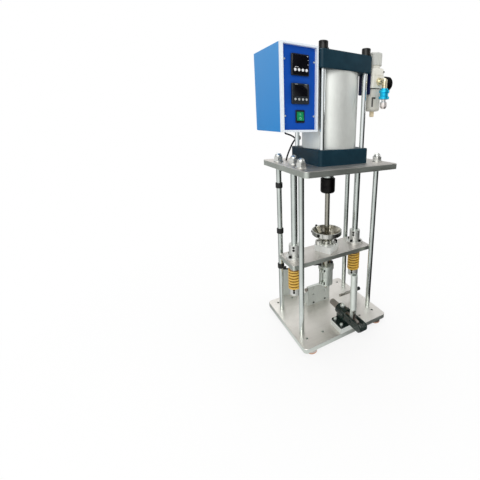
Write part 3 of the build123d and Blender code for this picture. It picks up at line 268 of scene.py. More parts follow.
# Acorn nuts, collars and bearings. Turned and milled steel, so the lines run round the axis; the
# collars and the flanged bearings are a little duller than the nuts.
turned_finish = bare_metal(
    "machined_steel", (0.66, 0.67, 0.64), (0.86, 0.87, 0.84), rough=0.27, lines=(14, 14, 1100),
    clouds=20, depth=0.00001, metallic=0.85,
)
dress(turned_finish, "acorn_nuts")
bearing_finish = bare_metal(
    "bearing_steel", (0.62, 0.63, 0.60), (0.80, 0.81, 0.78), rough=0.38, lines=(14, 14, 1100),
    clouds=20, depth=0.00001, metallic=0.85,
)
dress(bearing_finish, "linear_bearings", "rod_collars")

# Collar and bearing screws. Small black socket cap screws pull each split collar onto its rod,
# and four more hold each linear bearing's round flange down on the carriage.


def turned(shape, profile, at, steps=32):
    """Adds a turned solid in millimetres, from (radius, height) points read from the bottom up.
    A third number makes that ring a polygon of so many sides, with the radius to its flats."""
    rings = []
    for radius, height, *sides in profile:
        if radius == 0:
            rings.append([shape.verts.new(at @ Vector((0, 0, height)))])
            continue
        ring = []
        for i in range(steps):
            turn = 2 * pi * i / steps
            reach = radius
            if sides:
                flat = 2 * pi / sides[0]
                reach = radius / cos((turn + flat / 2) % flat - flat / 2)
            spot = Vector((reach * cos(turn), reach * sin(turn), height))
            ring.append(shape.verts.new(at @ spot))
        rings.append(ring)
    for low, high in zip(rings, rings[1:]):
        for i in range(steps):
            j = (i + 1) % steps
            if len(low) == 1:
                shape.faces.new((low[0], high[j], high[i]))
            elif len(high) == 1:
                shape.faces.new((low[i], low[j], high[0]))
            else:
                shape.faces.new((low[i], low[j], high[j], high[i]))


def pointing(x, y, z, direction=(0, 0, 1)):
    """Places a shape at a point in millimetres, with its own Z axis along a direction."""
    rotation = Vector(direction).to_track_quat("Z", "Y").to_matrix().to_4x4()
    return Matrix.Translation((x, y, z)) @ rotation


def cap_screw(shape, at, head, height):
    """The head of a socket cap screw with a rounded rim, standing on the surface at its place."""
    sunk, rim, key = 0.2, 0.5, head * 0.29
    turned(
        shape,
        [
            (0, -sunk), (head / 2, -sunk), (head / 2, height - rim), (head / 2 - rim, height),
            (key * 1.25, height), (key, height - 0.3, 6), (key, height * 0.45, 6),
            (0, height * 0.4),
        ],
        at, steps=24,
    )


def piece(name, shape, finish, body, sharp=32):
    """Makes a shape in millimetres into a piece of the machine that rides on a body."""
    bmesh.ops.recalc_face_normals(shape, faces=shape.faces)
    bmesh.ops.scale(shape, vec=(0.001,) * 3, verts=shape.verts)
    mesh = bpy.data.meshes.new(name)
    shape.to_mesh(mesh)
    shape.free()
    mesh.polygons.foreach_set("use_smooth", [True] * len(mesh.polygons))
    mesh.set_sharp_from_angle(angle=radians(sharp))
    mesh.materials.append(finish)
    made = bpy.data.objects.new(name, mesh)
    scene.collection.objects.link(made)
    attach(made, body)
    return made


black_finish = bare_metal(
    "black_oxide", (0.008, 0.008, 0.009), (0.026, 0.025, 0.024), rough=0.34, lines=(300, 300, 300),
    clouds=40, depth=0.00001,
)
guide_x = 120
collar_seat, collar_screw_rows = 17.6, (284, 293, 137.5, 145.5)
flange_circle, flange_top, first_flange_screw = 21.5, 260, 20
screws = bmesh.new()
for side, toward in ((-1, Vector((-0.62, -0.78, 0))), (1, Vector((-0.82, -0.57, 0)))):
    for z in collar_screw_rows:
        spot = Vector((side * guide_x, 0, z)) + toward * collar_seat
        cap_screw(screws, pointing(*spot, toward), head=7.5, height=1.6)
piece("collar_screws", screws, black_finish, "frame")
screws = bmesh.new()
for side in (-1, 1):
    for quarter in range(4):
        turn = radians(first_flange_screw + 90 * quarter)
        x = side * guide_x + flange_circle * cos(turn)
        cap_screw(screws, pointing(x, flange_circle * sin(turn), flange_top), head=9, height=5)
piece("bearing_screws", screws, black_finish, "carriage")

# Die springs. Heavy springs wound from flat-sided chrome vanadium wire and lacquered yellow,
# ground flat at both ends; they carry the injection carriage on the lower collars. The faces deep
# between the coils and inside them are painted dark brown, as shade.
material, place = begin("spring_yellow")
flow = grain(place, (120, 120, 300), 3)
worn = between(grain(place, (240, 240, 240), 4), 0.6, 0.75)
lacquer = tint(flow, (0.70, 0.40, 0.04), (0.86, 0.56, 0.10))
from_rod = place.vector("ABSOLUTE").vector("SUBTRACT", (guide_x / 1000, 0, 0))
# Painted shade: wire faces nearer the rod than the spring's outside are made dark brown.
lit_beyond, shaded_within = 0.0209, 0.0196
coil_gap_shade = between(from_rod.vector("MULTIPLY", (1, 1, 0)).length(), lit_beyond, shaded_within)
lacquer = tint(coil_gap_shade, lacquer, (0.46, 0.23, 0.03))
spring_finish = complete(
    material, tint(worn * 0.35, lacquer, (0.45, 0.28, 0.08)), 0.3 + worn * 0.2, flow,
    depth=0.00008, coat_weight=0.4,
)
spring_low, spring_high = 149.4, 213.6
coils, coil_steps = 7, 40
ground_steps = coil_steps * 0.6
wire_height = 6.6
wire_section = (
    (21.3, -0.86), (21.5, 0), (21.3, 0.86), (20.3, 1), (13.2, 1), (12.2, 0.8), (12.2, -0.8),
    (13.2, -1), (20.3, -1),
)
total = coils * coil_steps
springs = bmesh.new()
for side in (-1, 1):
    rows = []
    for i in range(total + 1):
        turn = 2 * pi * i / coil_steps
        climb = min(max((i - ground_steps) / (total - 2 * ground_steps), 0), 1)
        middle = spring_low + wire_height / 2 + (spring_high - spring_low - wire_height) * climb
        taper = min(1.0, 0.25 + 0.75 * min(i, total - i) / ground_steps)
        half = wire_height / 2 * taper
        shift = (1 - taper) * wire_height / 2 * (-1 if i < total / 2 else 1)
        rows.append([
            springs.verts.new((
                side * guide_x + radius * cos(turn), radius * sin(turn),
                middle + shift + rise * half,
            ))
            for radius, rise in wire_section
        ])
    for low, high in zip(rows, rows[1:]):
        for i in range(len(wire_section)):
            j = (i + 1) % len(wire_section)
            springs.faces.new((low[i], low[j], high[j], high[i]))
    springs.faces.new(rows[0])
    springs.faces.new(rows[-1][::-1])
spring_piece = piece(
    "die_spring_coils", springs, spring_finish, "frame", sharp=40
)
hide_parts("die_springs")
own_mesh(spring_piece)

# Press cylinder. Two cast caps in dark slate enamel close a bright drawn tube, and four polished
# tie rods with black screws pull them together. The coupling under it is oil-blackened.
material, place = begin("cap_paint")
cloud = grain(place, (30, 30, 30), 4, 0.6)
peel = grain(place, (420, 420, 420), 2)
enamel = tint(between(cloud, 0.35, 0.7), (0.003, 0.027, 0.045), (0.006, 0.038, 0.060))
cap_finish = complete(
    material, enamel, 0.36 + cloud * 0.14, peel, depth=0.00005, specular_ior_level=0.22
)
dress(cap_finish, "cylinder_lower_cap", "cylinder_upper_cap")
tube_finish = bare_metal(
    "cylinder_tube", (0.78, 0.80, 0.76), (0.88, 0.90, 0.86), rough=0.5, lines=(260, 260, 60),
    clouds=12, depth=0.00002, metallic=0.66,
)
dress(tube_finish, "cylinder_barrel")
tie_rod_finish = bare_metal(
    "tie_rod_bright", (0.78, 0.82, 0.82), (0.90, 0.94, 0.94), rough=0.07, lines=(700, 700, 4),
    clouds=14, depth=0.000004,
)
dress(tie_rod_finish, "tie_rods")
tie_screw_finish = bare_metal(
    "tie_screw_steel", (0.014, 0.014, 0.014), (0.060, 0.060, 0.058), rough=0.36,
    lines=(300, 300, 40), clouds=40, depth=0.00001,
)
dress(tie_screw_finish, "tie_rod_screws")
dress(black_finish, "rod_coupling")

# Injection unit. A milled block is bolted to the carriage and holds a turned hopper bowl above
# and the heated barrel below; a nickel-plated band heater is clamped round the barrel by screws
# at its slit. Heat has bronzed the inside of the bowl.
block_finish = bare_metal(
    "block_aluminium", (0.92, 0.95, 0.92), (0.97, 0.99, 0.97), rough=0.36, lines=(60, 500, 20),
    clouds=16, depth=0.00002, metallic=0.4,
)
dress(block_finish, "clamp_block")
material, place = begin("bowl_steel")
tool = grain(place, (40, 40, 700), 3)
heat = between(grain(place, (28, 28, 28), 4, 0.6), 0.35, 0.7)
blotch = between(grain(place, (55, 55, 90), 3), 0.42, 0.62)
bronzed = tint(blotch, (0.27, 0.25, 0.19), (0.60, 0.57, 0.48))
bands = between(grain(place, (75, 75, 5), 2), 0.42, 0.58)
bright = tint(bands * 0.6 + heat * 0.4, (0.26, 0.27, 0.24), (0.82, 0.82, 0.77))
dish_edge, dish_within, dish_floor = 0.047, 0.043, 0.289
from_axis = place.vector("MULTIPLY", (1, 1, 0)).length()
inside = between(from_axis, dish_edge, dish_within) * (place.along("Z") > dish_floor)
bowl_finish = complete(
    material, tint(inside, bright, bronzed), 0.17 + heat * 0.12 + (tool - 0.5) * 0.1, tool,
    depth=0.00002, metallic=1.0,
)
dress(bowl_finish, "hopper_bowl")
heater_finish = bare_metal(
    "heater_nickel", (0.52, 0.57, 0.52), (0.66, 0.71, 0.66), rough=0.34, lines=(500, 500, 12),
    clouds=20, depth=0.00001, metallic=0.7,
)
dress(heater_finish, "heater_band")
block_top, flange_reach = 274, 33
bowl_wall, rim_reach, rim_top = 48.4, 45.5, 322
lug_reach, lug_face = 28, 6.8
screws = bmesh.new()
for x, y, head, height in ((-27, 8, 21, 13), (24, -12, 9, 7), (15, -25, 9, 6), (20, 22, 12, 8)):
    cap_screw(screws, pointing(x, y, block_top), head, height)
piece("block_screws", screws, turned_finish, "carriage")
screws = bmesh.new()
for bearing, z in ((102, 322.5), (138, 312), (204, 316)):
    turn = radians(bearing)
    out = (cos(turn), sin(turn), 0)
    seat = pointing(bowl_wall * cos(turn), bowl_wall * sin(turn), z, out)
    cap_screw(screws, seat, head=8, height=3.6)
turn = radians(21)
rim_hole = pointing(rim_reach * cos(turn), rim_reach * sin(turn), rim_top)
turned(screws, [(0, -0.1), (3, -0.1), (3, 0.15), (0, 0.15)], rim_hole)
for bearing in (340, 352):
    turn = radians(bearing)
    seat = pointing(flange_reach * cos(turn), flange_reach * sin(turn), block_top)
    cap_screw(screws, seat, head=8, height=9)
slit = radians(210)
for z in (137.5, 184.5):
    for side in (-1, 1):
        x = lug_reach * cos(slit) - lug_face * side * sin(slit)
        y = lug_reach * sin(slit) + lug_face * side * cos(slit)
        seat = pointing(x, y, z, (-side * sin(slit), side * cos(slit), 0))
        cap_screw(screws, seat, head=6.5, height=3)
piece("unit_screws", screws, black_finish, "carriage")

# Control box. Folded sheet steel, powder coated light blue, with light painted on so that it pales
# towards its top and shade painted on so that it deepens towards its foot, and a white moulded
# bezel round a royal blue front panel that four small pan-head screws hold.
material, place = begin("box_blue")
orange_peel = grain(place, (500, 500, 500), 2)
haze = grain(place, (7, 7, 7), 3)
# Painted light and shade: the coat is paler higher up and deeper blue lower down.
shaded_below, lit_above = 0.64, 0.86
painted_top_light = between(place.along("Z") + (haze - 0.5) * 0.05, shaded_below, lit_above)
coat = tint(painted_top_light, (0.010, 0.240, 0.640), (0.062, 0.300, 0.670))
box_finish = complete(
    material, coat, 0.42 + haze * 0.1, orange_peel, depth=0.00006, specular_ior_level=0.25
)
dress(box_finish, "control_box")
material, place = begin("panel_blue")
orange_peel = grain(place, (700, 700, 700), 2)
haze = grain(place, (9, 9, 9), 3)
coat = tint(between(haze, 0.3, 0.7), (0.000, 0.066, 0.400), (0.001, 0.082, 0.480))
panel_finish = complete(
    material, coat, 0.42 + haze * 0.1, orange_peel, depth=0.00004, specular_ior_level=0.2
)
dress(panel_finish, "front_panel")


def moulded(name, dark, light, rough, texture=900, depth=0.00004, **plain):
    """Moulded plastic: slightly uneven colour and a fine spark-eroded texture, whose cells per
    metre and depth in metres are given."""
    material, place = begin(name)
    plain.setdefault("specular_ior_level", 0.4)
    cells = grain(place, (texture,) * 3, 2)
    haze = grain(place, (25, 25, 25), 3)
    colour = tint(between(haze, 0.3, 0.7), dark, light)
    return complete(material, colour, rough + (cells - 0.5) * 0.12, cells, depth, **plain)


bezel_finish = moulded(
    "bezel_white", (0.83, 0.89, 0.95), (0.88, 0.93, 0.98), rough=0.3, coat_weight=0.2
)
dress(bezel_finish, "box_bezel")
black_plastic = moulded("black_plastic", (0.008, 0.009, 0.012), (0.014, 0.015, 0.019), rough=0.42)
dress(black_plastic, "temperature_controllers", "switch_frame", "cable_gland", "box_bracket")
dress(black_plastic, "heater_terminals")

# Temperature controllers. Each has a smoked screen in its front, a row of round rubber keys under
# it and small printed lamps; the upper one is glossy with white keys, the lower one has a raised
# grey frame round a smaller screen.


def rounded(width, height, corner, level, at, steps=6):
    """The outline of a rounded rectangle in millimetres, at a level along its place's Z axis."""
    points = []
    for quarter, (sx, sy) in enumerate(((1, 1), (-1, 1), (-1, -1), (1, -1))):
        for i in range(steps + 1):
            turn = pi / 2 * (quarter + i / steps)
            x = sx * (width / 2 - corner) + corner * cos(turn)
            y = sy * (height / 2 - corner) + corner * sin(turn)
            points.append(at @ Vector((x, y, level)))
    return points


def layered(shape, loops):
    """Joins loops of equally many points into a closed solid that ends in the first and last."""
    rows = [[shape.verts.new(point) for point in loop] for loop in loops]
    for low, high in zip(rows, rows[1:]):
        for i in range(len(low)):
            j = (i + 1) % len(low)
            shape.faces.new((low[i], low[j], high[j], high[i]))
    shape.faces.new(rows[0][::-1])
    shape.faces.new(rows[-1])


def facing(x, z, y=-74.0):
    """A place on the machine's front, its own X to the right, Y up and Z towards the front."""
    return Matrix.Translation((x, y, z)) @ Matrix.Rotation(pi / 2, 4, "X")


screen_finish = moulded(
    "smoked_screen", (0.003, 0.003, 0.005), (0.006, 0.006, 0.009), rough=0.12, texture=300,
    depth=0.00001,
)
key_finish = moulded("white_keys", (0.80, 0.82, 0.84), (0.90, 0.91, 0.92), rough=0.4)
grey_key_finish = moulded("grey_keys", (0.36, 0.38, 0.38), (0.50, 0.52, 0.52), rough=0.45)
frame_finish = moulded("controller_frame", (0.010, 0.014, 0.019), (0.018, 0.024, 0.031), rough=0.4)
middle, upper, lower = -137, 796, 730.5
lower_screen = lower + 7
first_key, key_pitch = middle - 15.2, 10.4
upper_key_row, lower_key_row = upper - 11.4, lower - 12.8
shape = bmesh.new()
front = facing(middle, upper)
layered(shape, [
    rounded(44, 44, 2, -0.2, front), rounded(44, 44, 2, 0.5, front),
    rounded(43, 43, 1.6, 0.9, front),
])
front = facing(middle, lower_screen)
layered(shape, [
    rounded(37, 25, 1, 0.8, front), rounded(37, 25, 1, 1.1, front),
    rounded(36.4, 24.4, 0.8, 1.3, front),
])
piece("controller_screens", shape, screen_finish, "frame")
shape = bmesh.new()
front = facing(middle, lower)
layered(shape, [
    rounded(47, 47, 2.5, -0.2, front), rounded(47, 47, 2.5, 0.8, front),
    rounded(45.4, 45.4, 2, 1.6, front), rounded(40, 40, 1.2, 1.6, front),
    rounded(39, 39, 1, 0.9, front),
])
piece("lower_controller_frame", shape, frame_finish, "frame")
white_key = [(0, 0.6), (3.4, 0.6), (3.4, 1.3), (2.9, 1.8), (0, 2.1)]
grey_key = [(0, 0.6), (2.9, 0.6), (2.9, 1.2), (2.5, 1.6), (0, 1.8)]
white_prints = (
    (-13.5, -5.2, 4.6, 0.9), (-8.0, -5.2, 3.0, 0.9), (18.6, 19.6, 3.6, 0.9),
    (20.4, 11.6, 1.4, 1.4), (20.4, 1.4, 1.4, 1.4),
)
grey_prints = ((-13, 21.5, 8, 1.0), (14, 21.5, 7, 1.0))
shape = bmesh.new()
grey = bmesh.new()
for i in range(4):
    x = first_key + key_pitch * i
    turned(shape, white_key, facing(x, upper_key_row), steps=24)
    turned(grey, grey_key, facing(x, lower_key_row), steps=24)
for x, z, width, height in white_prints:
    front = facing(middle + x, upper + z)
    layered(shape, [rounded(width, height, 0.3, level, front) for level in (0.7, 1.0)])
for x, z, width, height in grey_prints:
    front = facing(middle + x, lower + z)
    layered(grey, [rounded(width, height, 0.3, level, front) for level in (1.4, 1.8)])
piece("upper_keys", shape, key_finish, "frame")
piece("lower_keys", grey, grey_key_finish, "frame")

# Panel screws. Four small zinc-plated pan heads with square recesses hold the blue panel against
# the box from the front.
zinc_finish = bare_metal(
    "zinc_steel", (0.64, 0.69, 0.64), (0.82, 0.87, 0.82), rough=0.32, lines=(40, 40, 40),
    clouds=30, depth=0.00002, metallic=0.65,
)
pan_head = [(0, -0.3), (2.4, -0.3), (2.4, 0.6), (1.9, 1.4), (1.0, 1.7), (0.8, 1.0, 4), (0, 0.9)]
panel_y, left_and_right, low_and_high = -69.0, (-178, -96.5), (677.8, 806)
screws = bmesh.new()
for x in left_and_right:
    for z in low_and_high:
        turned(screws, pan_head, facing(x, z, panel_y), steps=24)
piece("panel_screws", screws, zinc_finish, "frame")

# Rocker switch. The green button is a tinted moulding with the usual bar and ring for on and off,
# and shines a little in its black frame.
rocker_x, rocker_z, mark_rise = -0.137, 0.6777, 0.0052
bar_width, bar_height = 0.0012, 0.0052
ring_radius, ring_line = 0.0023, 0.001
material, place = begin("rocker_green")
cells = grain(place, (500, 500, 500), 2)
haze = between(grain(place, (180, 180, 180), 3), 0.35, 0.7)
from_middle = place.vector("SUBTRACT", (rocker_x, 0, rocker_z))
bar = (abs(from_middle.along("X")) < bar_width / 2) * (
    abs(from_middle.along("Z") - mark_rise) < bar_height / 2
)
from_ring = from_middle.vector("SUBTRACT", (0, 0, -mark_rise)).vector("MULTIPLY", (1, 0, 1))
ring = abs(from_ring.length() - ring_radius) < ring_line / 2
green = tint(haze, (0.004, 0.235, 0.080), (0.012, 0.340, 0.140))
green_finish = complete(
    material, tint(bar + ring, green, (0.30, 0.70, 0.45)), 0.22 + cells * 0.08, cells,
    depth=0.00003, coat_weight=0.3, specular_ior_level=0.4,
)
dress(green_finish, "rocker_button")

# Air unit. A filter regulator in pale warm grey plastic hangs on a navy bracket, with a dark
# sealing ring over its bowl, a sight window in the bowl's side and a small lock latch by the
# window. The drain under the bowl is brass.
body_finish = moulded(
    "regulator_body_grey", (0.78, 0.765, 0.685), (0.85, 0.835, 0.755), rough=0.36
)
dress(body_finish, "regulator_body")
material, place = begin("regulator_bowl_grey")
cells = grain(place, (900, 900, 900), 2)
haze = between(grain(place, (25, 25, 25), 3), 0.3, 0.7)
bowl_ends, drain_starts = 0.6958, 0.6952
drain = between(place.along("Z"), bowl_ends, drain_starts)
guard = tint(haze, (0.54, 0.53, 0.47), (0.62, 0.61, 0.55))
bowl_guard_finish = complete(
    material, tint(drain, guard, (0.74, 0.62, 0.42)), 0.38 + (cells - 0.5) * 0.12, cells,
    depth=0.00004, specular_ior_level=0.4,
)
dress(bowl_guard_finish, "regulator_bowl")
knob_finish = moulded("regulator_knob_grey", (0.58, 0.59, 0.55), (0.67, 0.68, 0.64), rough=0.42)
dress(knob_finish, "regulator_knob")
bracket_finish = moulded("bracket_navy", (0.006, 0.012, 0.070), (0.010, 0.020, 0.095), rough=0.32)
dress(bracket_finish, "air_bracket")
unit_x, unit_y = 111, -61


def bowl_side(height, turn):
    """A place on the bowl's axis in millimetres, its own Z axis out through the side at a turn."""
    level = Matrix.Translation((unit_x, unit_y, height)) @ Matrix.Rotation(radians(turn), 4, "Z")
    return level @ Matrix.Rotation(pi / 2, 4, "X")


trim_finish = moulded("regulator_trim", (0.045, 0.045, 0.040), (0.075, 0.073, 0.066), rough=0.4)
seal_ring = [(21.2, 756.4), (22.0, 756.4), (22.0, 758.4), (21.2, 758.4), (21.2, 756.4)]
shape = bmesh.new()
turned(shape, seal_ring, Matrix.Translation((unit_x, unit_y, 0)), steps=48)
window = bowl_side(height=721, turn=-42)
layered(shape, [rounded(4.6, 26.4, 2.2, level, window) for level in (18.0, 19.6)])
latch = bowl_side(height=732, turn=-28)
layered(shape, [
    rounded(6.5, 4.4, 1.2, 20.0, latch), rounded(6.5, 4.4, 1.2, 22.4, latch),
    rounded(5.9, 3.8, 1.0, 22.8, latch),
])
bonnet_screw = pointing(unit_x + 17, unit_y - 22.9, 803, (0, -1, 0))
cap_screw(shape, bonnet_screw, head=5, height=0.8)
piece("regulator_trim", shape, trim_finish, "frame")

# Air fittings. A brass elbow screws into the front port and carries a cyan anodised quick
# coupler. A plated steel plug for the hose sits in the coupler.
brass_finish = bare_metal(
    "fitting_brass", (0.62, 0.53, 0.34), (0.90, 0.85, 0.66), rough=0.24, lines=(60, 60, 900),
    clouds=40, depth=0.00001,
)
dress(brass_finish, "inlet_elbow")
coupler_finish = bare_metal(
    "coupler_blue", (0.004, 0.46, 0.74), (0.030, 0.64, 0.92), rough=0.28, lines=(60, 60, 900),
    clouds=40, depth=0.00001, metallic=0.7,
)
dress(coupler_finish, "quick_coupler")
plug_finish = bare_metal(
    "plug_steel", (0.76, 0.69, 0.66), (0.94, 0.90, 0.88), rough=0.26, lines=(60, 60, 900),
    clouds=40, depth=0.00001, metallic=0.8,
)
dress(plug_finish, "coupler_plug")

# Pressure gauge. The case is black, and the dial at its far side is white with printed ticks,
# round numbers and a black pointer that rests on zero, behind a thin bright ring.
gauge_finish = moulded(
    "gauge_black", (0.001, 0.001, 0.001), (0.003, 0.003, 0.003), rough=0.55,
    specular_ior_level=0.06,
)
dress(gauge_finish, "pressure_gauge")
dial_finish = moulded(
    "dial_white", (0.78, 0.79, 0.77), (0.86, 0.87, 0.85), rough=0.35, texture=500, depth=0.00001
)
dial_x, dial_z = 167.5, 776
zero_turn, tick_turn, ticks_a_number = 225, 9, 5
dial = Matrix.Translation((dial_x, unit_y, dial_z)) @ Matrix(
    ((0, 0, 1, 0), (1, 0, 0, 0), (0, 1, 0, 0), (0, 0, 0, 1))
)
shape = bmesh.new()
turned(shape, [(0, -0.3), (16.8, -0.3), (16.8, 0.2), (16.4, 0.3), (0, 0.3)], dial, steps=48)
piece("gauge_dial", shape, dial_finish, "frame")
shape = bmesh.new()
for i in range(6 * ticks_a_number + 1):
    reach, length, width = (15.1, 1.5, 0.28) if i % ticks_a_number else (14.6, 2.6, 0.5)
    tick = dial @ Matrix.Rotation(radians(zero_turn - tick_turn * i), 4, "Z")
    at = tick @ Matrix.Translation((reach, 0, 0))
    layered(shape, [rounded(length, width, 0.1, level, at, steps=1) for level in (0.2, 0.4)])
needle = dial @ Matrix.Rotation(radians(zero_turn), 4, "Z") @ Matrix.Translation((5, 0, 0))
layered(shape, [rounded(16, 0.8, 0.35, level, needle, steps=2) for level in (0.6, 0.9)])
turned(shape, [(0, 0.2), (2, 0.2), (2, 1.0), (1.6, 1.3), (0, 1.3)], dial, steps=24)
piece("gauge_marks", shape, gauge_finish, "frame", sharp=20)
number_reach, number_level = 11.2, 0.35
for i in range(7):
    turn = radians(zero_turn - ticks_a_number * tick_turn * i)
    text = bpy.data.curves.new("gauge_number", "FONT")
    text.body = str(2 * i)
    text.size, text.align_x, text.align_y, text.extrude = 0.0034, "CENTER", "CENTER", 0.00005
    text.resolution_u = 3
    text.materials.append(gauge_finish)
    number = bpy.data.objects.new("gauge_number_%d" % i, text)
    spot = dial @ Vector((number_reach * cos(turn), number_reach * sin(turn), number_level))
    number.matrix_world = Matrix.Translation(spot * 0.001) @ dial.to_3x3().to_4x4()
    scene.collection.objects.link(number)
    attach(number, "frame")
dial_ring = [(17.0, 0.2), (19.6, 1.4), (19.3, 1.9), (17.6, 1.9), (16.6, 0.9), (17.0, 0.2)]
shape = bmesh.new()
turned(shape, dial_ring, dial, steps=64)
piece("gauge_ring", shape, turned_finish, "frame")

# Toggle clamp. A black enamelled casting on the riser block is held by four plated cap screws,
# and a hex nut locks the grease screw on top of its sleeve. The bar is blackened and worn, the
# handle zinc plated.
clamp_finish = moulded(
    "clamp_black", (0.005, 0.014, 0.011), (0.013, 0.029, 0.024), rough=0.24, texture=300,
    depth=0.0001, coat_weight=0.25,
)
dress(clamp_finish, "clamp_body")
dress(zinc_finish, "clamp_lever")
bar_finish = bare_metal(
    "clamp_bar", (0.30, 0.27, 0.24), (0.46, 0.43, 0.39), rough=0.36, lines=(40, 900, 900),
    clouds=30, depth=0.00001,
)
dress(bar_finish, "clamp_plunger")
clamp_x, clamp_y, flange_z = -3, -109, 48
sleeve_y, sleeve_z = -103, 97
grease_screw = [
    (0, -1.5), (6.5, -1.5, 6), (6.5, 4.4, 6), (5.9, 5.0, 6), (3.4, 5.0), (3.4, 8.0), (2.8, 8.6),
    (0, 8.6),
]
screws = bmesh.new()
for x in (-20, 20):
    for y in (-16.5, 16.5):
        cap_screw(screws, pointing(clamp_x + x, clamp_y + y, flange_z), head=10, height=5.5)
turned(screws, grease_screw, pointing(clamp_x, sleeve_y, sleeve_z), steps=24)
piece("clamp_screws", screws, zinc_finish, "frame")

# Side stop and fixture screws. The side stop is a drill rod with a blackened knurled knob, and a
# smaller steel knob stands on the left edge of the mould's back plate. Cap screws hold both
# upright plates.
knob_starts, knob_full = 0.1352, 0.1362
material, place = begin("side_stop_steel")
tool = grain(place, (8, 900, 900), 3)
knob = between(place.along("X"), knob_starts, knob_full)
knurl = between(grain(place, (700, 700, 700), 2), 0.35, 0.65)
steel = tint(tool, (0.34, 0.33, 0.29), (0.56, 0.55, 0.50))
stop_finish = complete(
    material, tint(knob, steel, (0.035, 0.038, 0.040)), 0.26 + knob * 0.16 + (tool - 0.5) * 0.1,
    knurl * knob, depth=0.0001, metallic=1.0,
)
dress(stop_finish, "side_stop_rod")
dress(turned_finish, "side_stop_post")
small_knob = [
    (0, -2), (3, -2), (3, 1), (6, 1.4), (6.4, 2.2), (6.4, 7.4), (5.8, 8.2), (3, 8.3), (2.6, 7.6),
    (0, 7.6),
]
mould_plate_left, mould_plate_y, rear_plate_y = -49, 37, 143
shape = bmesh.new()
turned(shape, small_knob, pointing(mould_plate_left, 42, 91, (-1, 0, 0)))
piece("mould_plate_knob", shape, bar_finish, "frame")
screws = bmesh.new()
for x in (-92, -38):
    for z in (19.5, 60):
        cap_screw(screws, pointing(x, rear_plate_y, z, (0, 1, 0)), head=8.5, height=4)
for x in (-25, 23):
    cap_screw(screws, pointing(x, mould_plate_y, 33, (0, -1, 0)), head=6.4, height=0.6)
piece("fixture_screws", screws, black_finish, "frame")

# Cable. Black rubber-sheathed cable from the gland down the left rear column. Three wide straps
# hold it; each has a second wrap, and the lowest one's tail stands off the column.
rubber_finish = moulded(
    "cable_rubber", (0.006, 0.007, 0.006), (0.013, 0.014, 0.013), rough=0.5, texture=500
)
dress(rubber_finish, "control_cable", "heater_lead", "cable_straps")
column_x, column_y, tail_z = -135, 71, 194
second_wrap = [
    (8.2, -7.6), (10.4, -7.6), (10.9, -6.8), (10.9, 7.4), (10.4, 8.2), (8.2, 8.2), (8.2, -7.6),
]
tail_outline = ((7, -9.6), (18.5, -7.6), (18.5, -5.9), (7, -7.4))
shape = bmesh.new()
for z in (473, 322, 197):
    turned(shape, second_wrap, Matrix.Translation((column_x, column_y, z)), steps=40)
tail = Matrix.Translation((column_x, column_y, tail_z)) @ Matrix.Rotation(radians(-32), 4, "Z")
layered(shape, [[tail @ Vector((x, y, z)) for x, y in tail_outline] for z in (-4.5, 3.5)])
piece("strap_ends", shape, rubber_finish, "frame")

# Floor. A pale sheet that keeps the machine's shadow near it and fades out into a white
# background. Bright metal sees it, and the room beyond it, as grey with a bright window at the
# left and a dark screen at the right.


def lobe(direction, side, low, high):
    """The share from 0 to 1 with which a level direction turns towards a side of the room."""
    level = direction.vector("MULTIPLY", (1, 1, 0)).vector("NORMALIZE")
    return between(level.vector("DOT_PRODUCT", side, "Value"), low, high)


def room_towards(direction):
    """How bright the room is towards a direction, from 0 to 1."""
    window = lobe(direction, (-0.866, -0.5, 0), 0.42, 0.966)
    screen = lobe(direction, (0.866, -0.5, 0), 0.42, 0.866)
    return between(window * 0.55 - screen * 0.40 + 0.42, 0.0, 1.0)


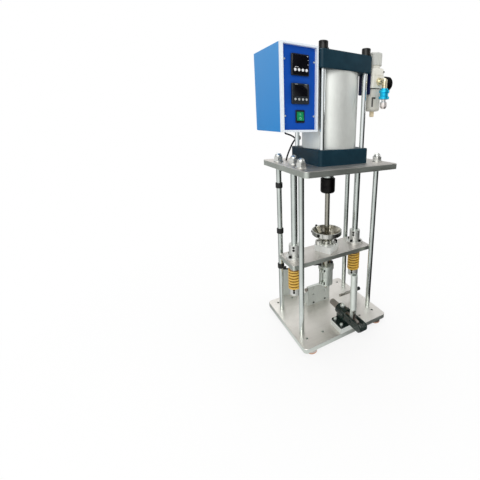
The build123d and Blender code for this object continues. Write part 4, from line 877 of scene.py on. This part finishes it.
floor_half, shadow_ends, white_from = 6, 0.35, 1.0
material, place = begin("pale_floor")
tree = material.node_tree
fade = between(place.length(), shadow_ends, white_from)
seen = place.node("LightPath", {}, {}, "Is Camera Ray")
gleam = place.node("LightPath", {}, {}, "Is Glossy Ray")
black = place.node("Emission", {}, {"Color": (0, 0, 0, 1)}, "Emission")
white = place.node("Emission", {}, {"Color": (1, 1, 1, 1)}, "Emission")
glow = place.node("MixShader", {}, {0: room_towards(place) + seen, 1: black, 2: white})
matt = place.node("BsdfDiffuse", {}, {"Color": (0.90, 0.90, 0.89, 1)}, "BSDF")
share = seen * (0.80 + fade * 0.20) + gleam
mixed = place.node("MixShader", {}, {0: share, 1: matt, 2: glow})
tree.links.new(mixed.socket, tree.nodes["Material Output"].inputs["Surface"])
shape = bmesh.new()
bmesh.ops.create_grid(shape, x_segments=1, y_segments=1, size=floor_half)
mesh = bpy.data.meshes.new("floor")
shape.to_mesh(mesh)
shape.free()
mesh.materials.append(material)
floor = bpy.data.objects.new("floor", mesh)
scene.collection.objects.link(floor)

# Light. A large soft box at the left front, a weaker one at the right, and one above. The room is
# white to the camera and lights plain surfaces evenly, a little more from behind, where bright
# metal also finds a pale wall.
aimed_at = Vector((0, 0, 0.42))
for name, spot, size, power in (
    ("key", (-1.6, -1.5, 1.9), 1.4, 26),
    ("fill", (1.7, -0.9, 1.3), 1.2, 7),
    ("top", (0.1, 0.5, 2.2), 1.6, 14),
):
    data = bpy.data.lights.new(name, "AREA")
    data.size = size
    data.energy = power
    lamp = bpy.data.objects.new(name, data)
    lamp.location = spot
    lamp.rotation_mode = "QUATERNION"
    lamp.rotation_quaternion = (aimed_at - Vector(spot)).to_track_quat("-Z", "Y")
    scene.collection.objects.link(lamp)
world = bpy.data.worlds.new("studio")
world.use_nodes = True
scene.world = world
tree = world.node_tree
look = Signal(tree).node("TexCoord", {}, {}, "Generated")
seen = look.node("LightPath", {}, {}, "Is Camera Ray")
gleam = look.node("LightPath", {}, {}, "Is Glossy Ray")
behind = look.vector("DOT_PRODUCT", (0.53, 0.85, 0.25), "Value")
even = between(behind, -0.5, 0.6) * 0.45 + 0.38
pale_wall = lobe(look, (0.10, 0.995, 0), 0.78, 0.98)
ceiling = between(look.along("Z"), 0.35, 0.9)
mirrored = room_towards(look) + pale_wall * 0.6 + ceiling * 0.3
level = even + gleam * (mirrored - even)
level = level + seen * (1.0 - level)
tree.links.new(level.socket, tree.nodes["Background"].inputs["Strength"])
tree.nodes["Background"].inputs["Color"].default_value = (1, 1, 1, 1)
